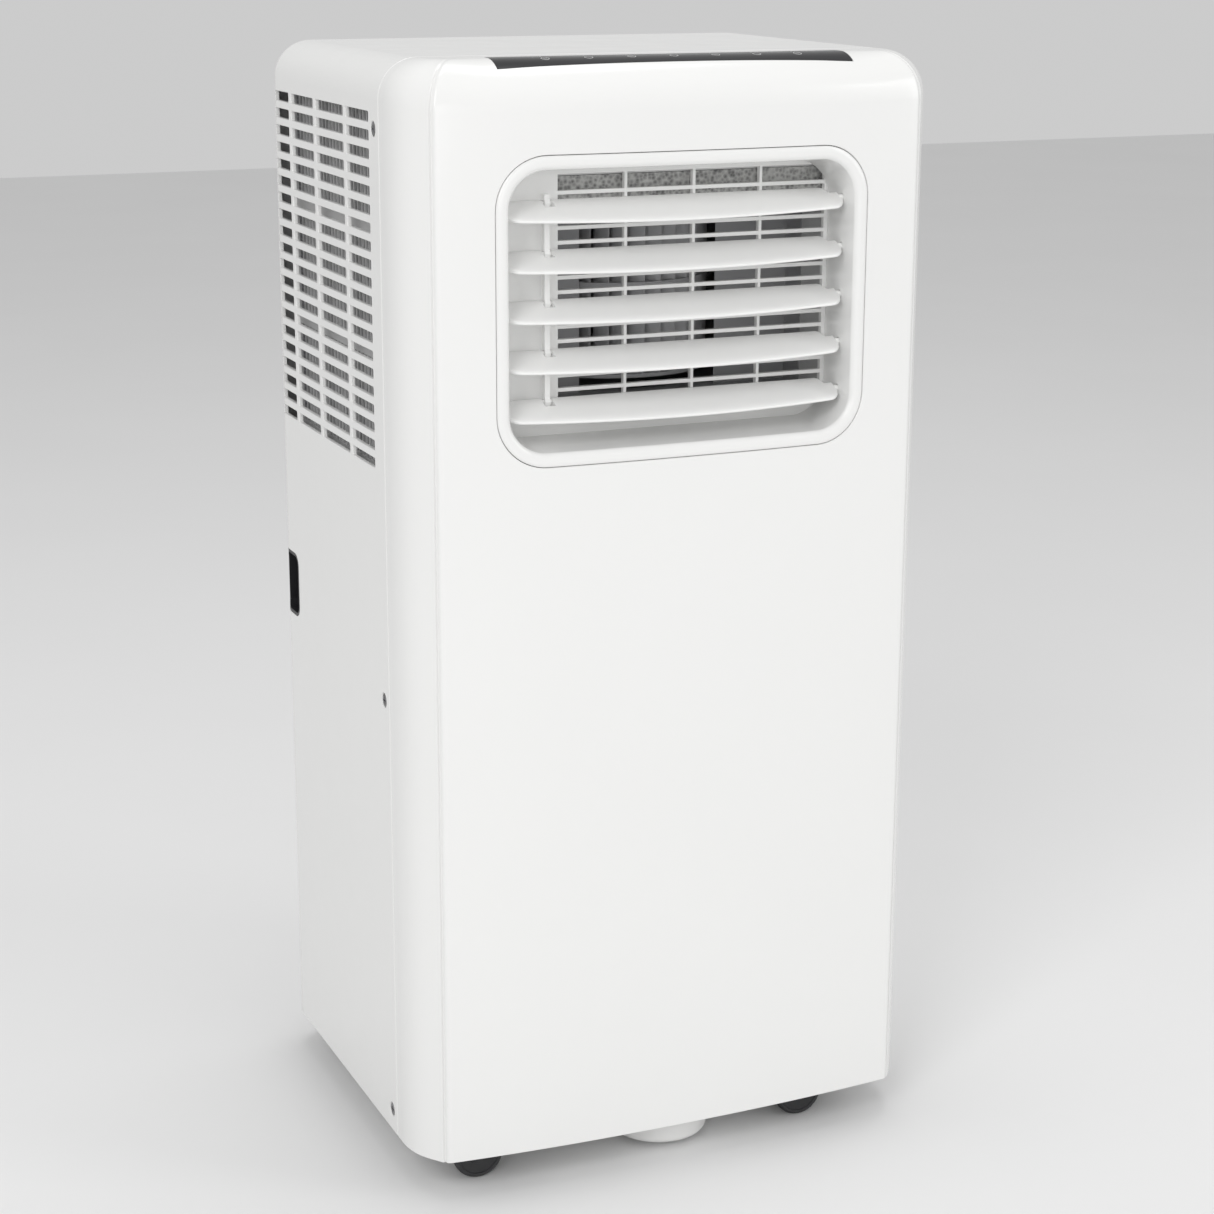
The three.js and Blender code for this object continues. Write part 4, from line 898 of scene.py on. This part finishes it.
# ---------------------------------------------------------------------------------------------
# Casing screws. Zinc plated pan heads with a cross recess, sunk in round seats in the rear shell.
# ---------------------------------------------------------------------------------------------
SCREW_ZINC = metal("screw_zinc", (0.30, 0.30, 0.31), (0.16, 0.15, 0.14), 0.35, 0.003)
HEAD = ((0, -13.5), (1.7, -12), (1.7, -1.2), (4, -0.9), (4, -0.5), (3.7, -0.2), (2.6, -0.02), (0, 0))
for name in SCREWS:
    low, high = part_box(name)
    centre = (low + high) / 2
    side = 1 if low.x > 0 else -1
    top = side * (HALF_W - 0.25 * MM)
    head = turned("head", [(r * MM, top + side * h * MM) for r, h in HEAD], 32, "x", (0, centre.y, centre.z))
    for reach_y, reach_z in ((2.1, 0.45), (0.45, 2.1)):
        span = sorted((top - side * 0.75 * MM, top + side * MM))
        carved(head, block("cross", (span[0], centre.y - reach_y * MM, centre.z - reach_z * MM),
                           (span[1], centre.y + reach_y * MM, centre.z + reach_z * MM)))
    head.name = name + "_zinc"
    fit(smoothed(head), "casing", "steel", SCREW_ZINC, name)

# ---------------------------------------------------------------------------------------------
# Side filters. A grey polypropylene frame with two crossbars and fine upright ribs, which backs the slots,
# over a net whose near-black gaps are painted shade.
# ---------------------------------------------------------------------------------------------
FILTER_GREY = moulded_plastic("filter_grey", (0.62, 0.62, 0.62), 0.6, grain=0.4, drift=0.1)
RIB_PITCH = 6.5 * MM
RIB_W = 2 * MM
CROSSBAR_ROWS = (6, 13)
CROSSBAR_HALF_H = 3.5 * MM
for node in ("side_filter_left", "side_filter_right"):
    low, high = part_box(node)
    rim = 5 * MM
    depth = (low.x, high.x)
    bars = [rectangle(low.y, high.y, high.z - rim, high.z),
            rectangle(low.y, high.y, low.z, low.z + rim),
            rectangle(low.y, low.y + rim, low.z + rim, high.z - rim),
            rectangle(high.y - rim, high.y, low.z + rim, high.z - rim)]
    for row in CROSSBAR_ROWS:
        z = SLOT_TOP_Z - row * SLOT_PITCH - 1.7 * MM
        bars.append(rectangle(low.y + rim, high.y - rim, z - CROSSBAR_HALF_H, z + CROSSBAR_HALF_H))
    solid_bars = [prism("bar", outline, depth[0], depth[1], "x") for outline in bars]
    middle = (low.x + high.x) / 2
    rib = prism("rib", rectangle(low.y + rim, low.y + rim + RIB_W, low.z + rim, high.z - rim),
                middle - 0.6 * MM, middle + 0.6 * MM, "x")
    ribs = repeated(rib, int((high.y - low.y - 2 * rim) / RIB_PITCH), (0, RIB_PITCH, 0))
    frame_piece = merged(node + "_frame", solid_bars + [ribs])
    fit(smoothed(frame_piece), "casing", "grey_plastic", FILTER_GREY, node)
    inward = 1 if low.x < 0 else -1
    sheet_x = sorted((middle + inward * 0.9 * MM, middle + inward * 1.2 * MM))
    sheet = prism(node + "_net", rectangle(low.y + 2 * MM, high.y - 2 * MM, low.z + 2 * MM, high.z - 2 * MM),
                  sheet_x[0], sheet_x[1], "x")
    # The net sheet carries painted shade in the gaps between its strands.
    fit(sheet, "casing", "grey_plastic", net.material)

# ---------------------------------------------------------------------------------------------
# Control strip. A smooth charcoal film stuck in a shallow pocket that follows the rounded front
# edge of the top, printed with a row of touch marks and lamps: plain rings, bars and dots.
# ---------------------------------------------------------------------------------------------
overlay = Finish("charcoal_overlay", {"Specular IOR Level": 0.12})
print_dust = overlay.noise(0.004, 5)
overlay_tone = overlay.blend_colours(overlay.noise(0.05), (0.028, 0.028, 0.030), (0.038, 0.038, 0.040))
overlay.feed("Base Color", overlay_tone)
overlay.feed("Roughness", 0.17 + print_dust * 0.12)
overlay.bump(overlay.noise(0.0009), 0.12, 0.00003)
strip = carved(strip_block(0, STRIP_DEPTH, 1.5 * MM), casing_loft("face", 0.04 * MM, False, FOOT_Z),
               operation="INTERSECT")
strip.name = "control_panel_overlay"
fit(smoothed(strip), "casing", "control_gloss", overlay.material, "control_panel")

MARK_PITCH = 26 * MM
PRINT_DEPTH = 0.06 * MM
MARK_LOW, MARK_TOP = TOP_Z - 10 * MM, TOP_Z + 5 * MM
MARK_Y = (STRIP_LOW.y + STRIP_HIGH.y) / 2
printed = Finish("printed_mark", {"Roughness": 0.6, "Specular IOR Level": 0.1})
print_tone = printed.blend_colours(printed.noise(0.001), (0.50, 0.50, 0.50), (0.66, 0.66, 0.66))
printed.feed("Base Color", print_tone)
RING_Y = MARK_Y - 2 * MM
LAMP_Y = MARK_Y + 5.5 * MM
LAMP_R = 0.55 * MM
RING = ((2.1 * MM, MARK_LOW), (2.5 * MM, MARK_LOW), (2.5 * MM, MARK_TOP), (2.1 * MM, MARK_TOP))
STROKE_HALF_W, STROKE_HALF_H = 1.2 * MM, 0.2 * MM
marks = []
for k in range(-3, 4):
    x = k * MARK_PITCH
    marks += [turned("ring", RING, 32, centre=(x, RING_Y, 0)),
              turned("lamp", rod(LAMP_R, MARK_LOW, MARK_TOP), 16, centre=(x, LAMP_Y, 0))]
    if k % 2:
        marks.append(block("stroke", (x - STROKE_HALF_W, RING_Y - STROKE_HALF_H, MARK_LOW),
                           (x + STROKE_HALF_W, RING_Y + STROKE_HALF_H, MARK_TOP)))
print_skin = carved(casing_loft("print_skin", 0, False, FOOT_Z),
                    casing_loft("under", PRINT_DEPTH, False, FOOT_Z - MM))
marks = carved(merged("control_marks", marks), print_skin, operation="INTERSECT")
fit(marks, "casing", "control_gloss", printed.material)

# ---------------------------------------------------------------------------------------------
# Studio. A pale floor, large soft lights and the camera.
# ---------------------------------------------------------------------------------------------
floor_finish = Finish("studio_floor", {"Roughness": 0.9})
floor_tone = floor_finish.blend_colours(floor_finish.noise(0.4), (0.80, 0.80, 0.80), (0.83, 0.83, 0.83))
floor_finish.feed("Base Color", floor_tone)
floor = new_piece("studio_floor", [(-6, -6, 0), (6, -6, 0), (6, 6, 0), (-6, 6, 0)], [(0, 1, 2, 3)])
floor.data.materials.append(floor_finish.material)

scene = bpy.context.scene
scene.view_settings.view_transform = "Standard"
world = bpy.data.worlds.new("studio")
world.use_nodes = True
world.node_tree.nodes["Background"].inputs["Color"].default_value = (0.97, 0.97, 0.97, 1)
world.node_tree.nodes["Background"].inputs["Strength"].default_value = 0.62
scene.world = world


def soft_light(name, place, target, size, power):
    lamp = bpy.data.lights.new(name, "AREA")
    lamp.shape = "RECTANGLE"
    lamp.size, lamp.size_y = size
    lamp.energy = power
    made = bpy.data.objects.new(name, lamp)
    made.location = place
    made.rotation_euler = (Vector(target) - Vector(place)).to_track_quat("-Z", "Y").to_euler()
    scene.collection.objects.link(made)


soft_light("key", (-2.0, -2.1, 2.0), (0, 0, 0.35), (1.2, 2.0), 34)
soft_light("fill", (2.2, -1.8, 1.3), (0, 0, 0.35), (0.9, 1.8), 14)
soft_light("overhead", (0.2, 0.3, 2.9), (0, 0, 0.4), (1.4, 1.4), 16)
soft_light("front", (-0.5, -2.6, 0.75), (0, 0, 0.5), (1.6, 0.8), 6)

camera = bpy.data.objects.new("camera", bpy.data.cameras.new("camera"))
camera.data.lens = 76.37
camera.data.sensor_width = 36
YAW, PITCH, ROLL = 0.4098, 0.2658, 0.0037
ahead = Vector((math.sin(YAW) * math.cos(PITCH), math.cos(YAW) * math.cos(PITCH), -math.sin(PITCH)))
level = ahead.cross(Vector((0, 0, 1))).normalized()
upright = level.cross(ahead)
across = level * math.cos(ROLL) + upright * math.sin(ROLL)
up = upright * math.cos(ROLL) - level * math.sin(ROLL)
camera.matrix_world = Matrix.Translation((-0.62179, -1.45302, 0.75249)) @ Matrix(
    (across, up, -ahead)).transposed().to_4x4()
scene.collection.objects.link(camera)
scene.camera = camera
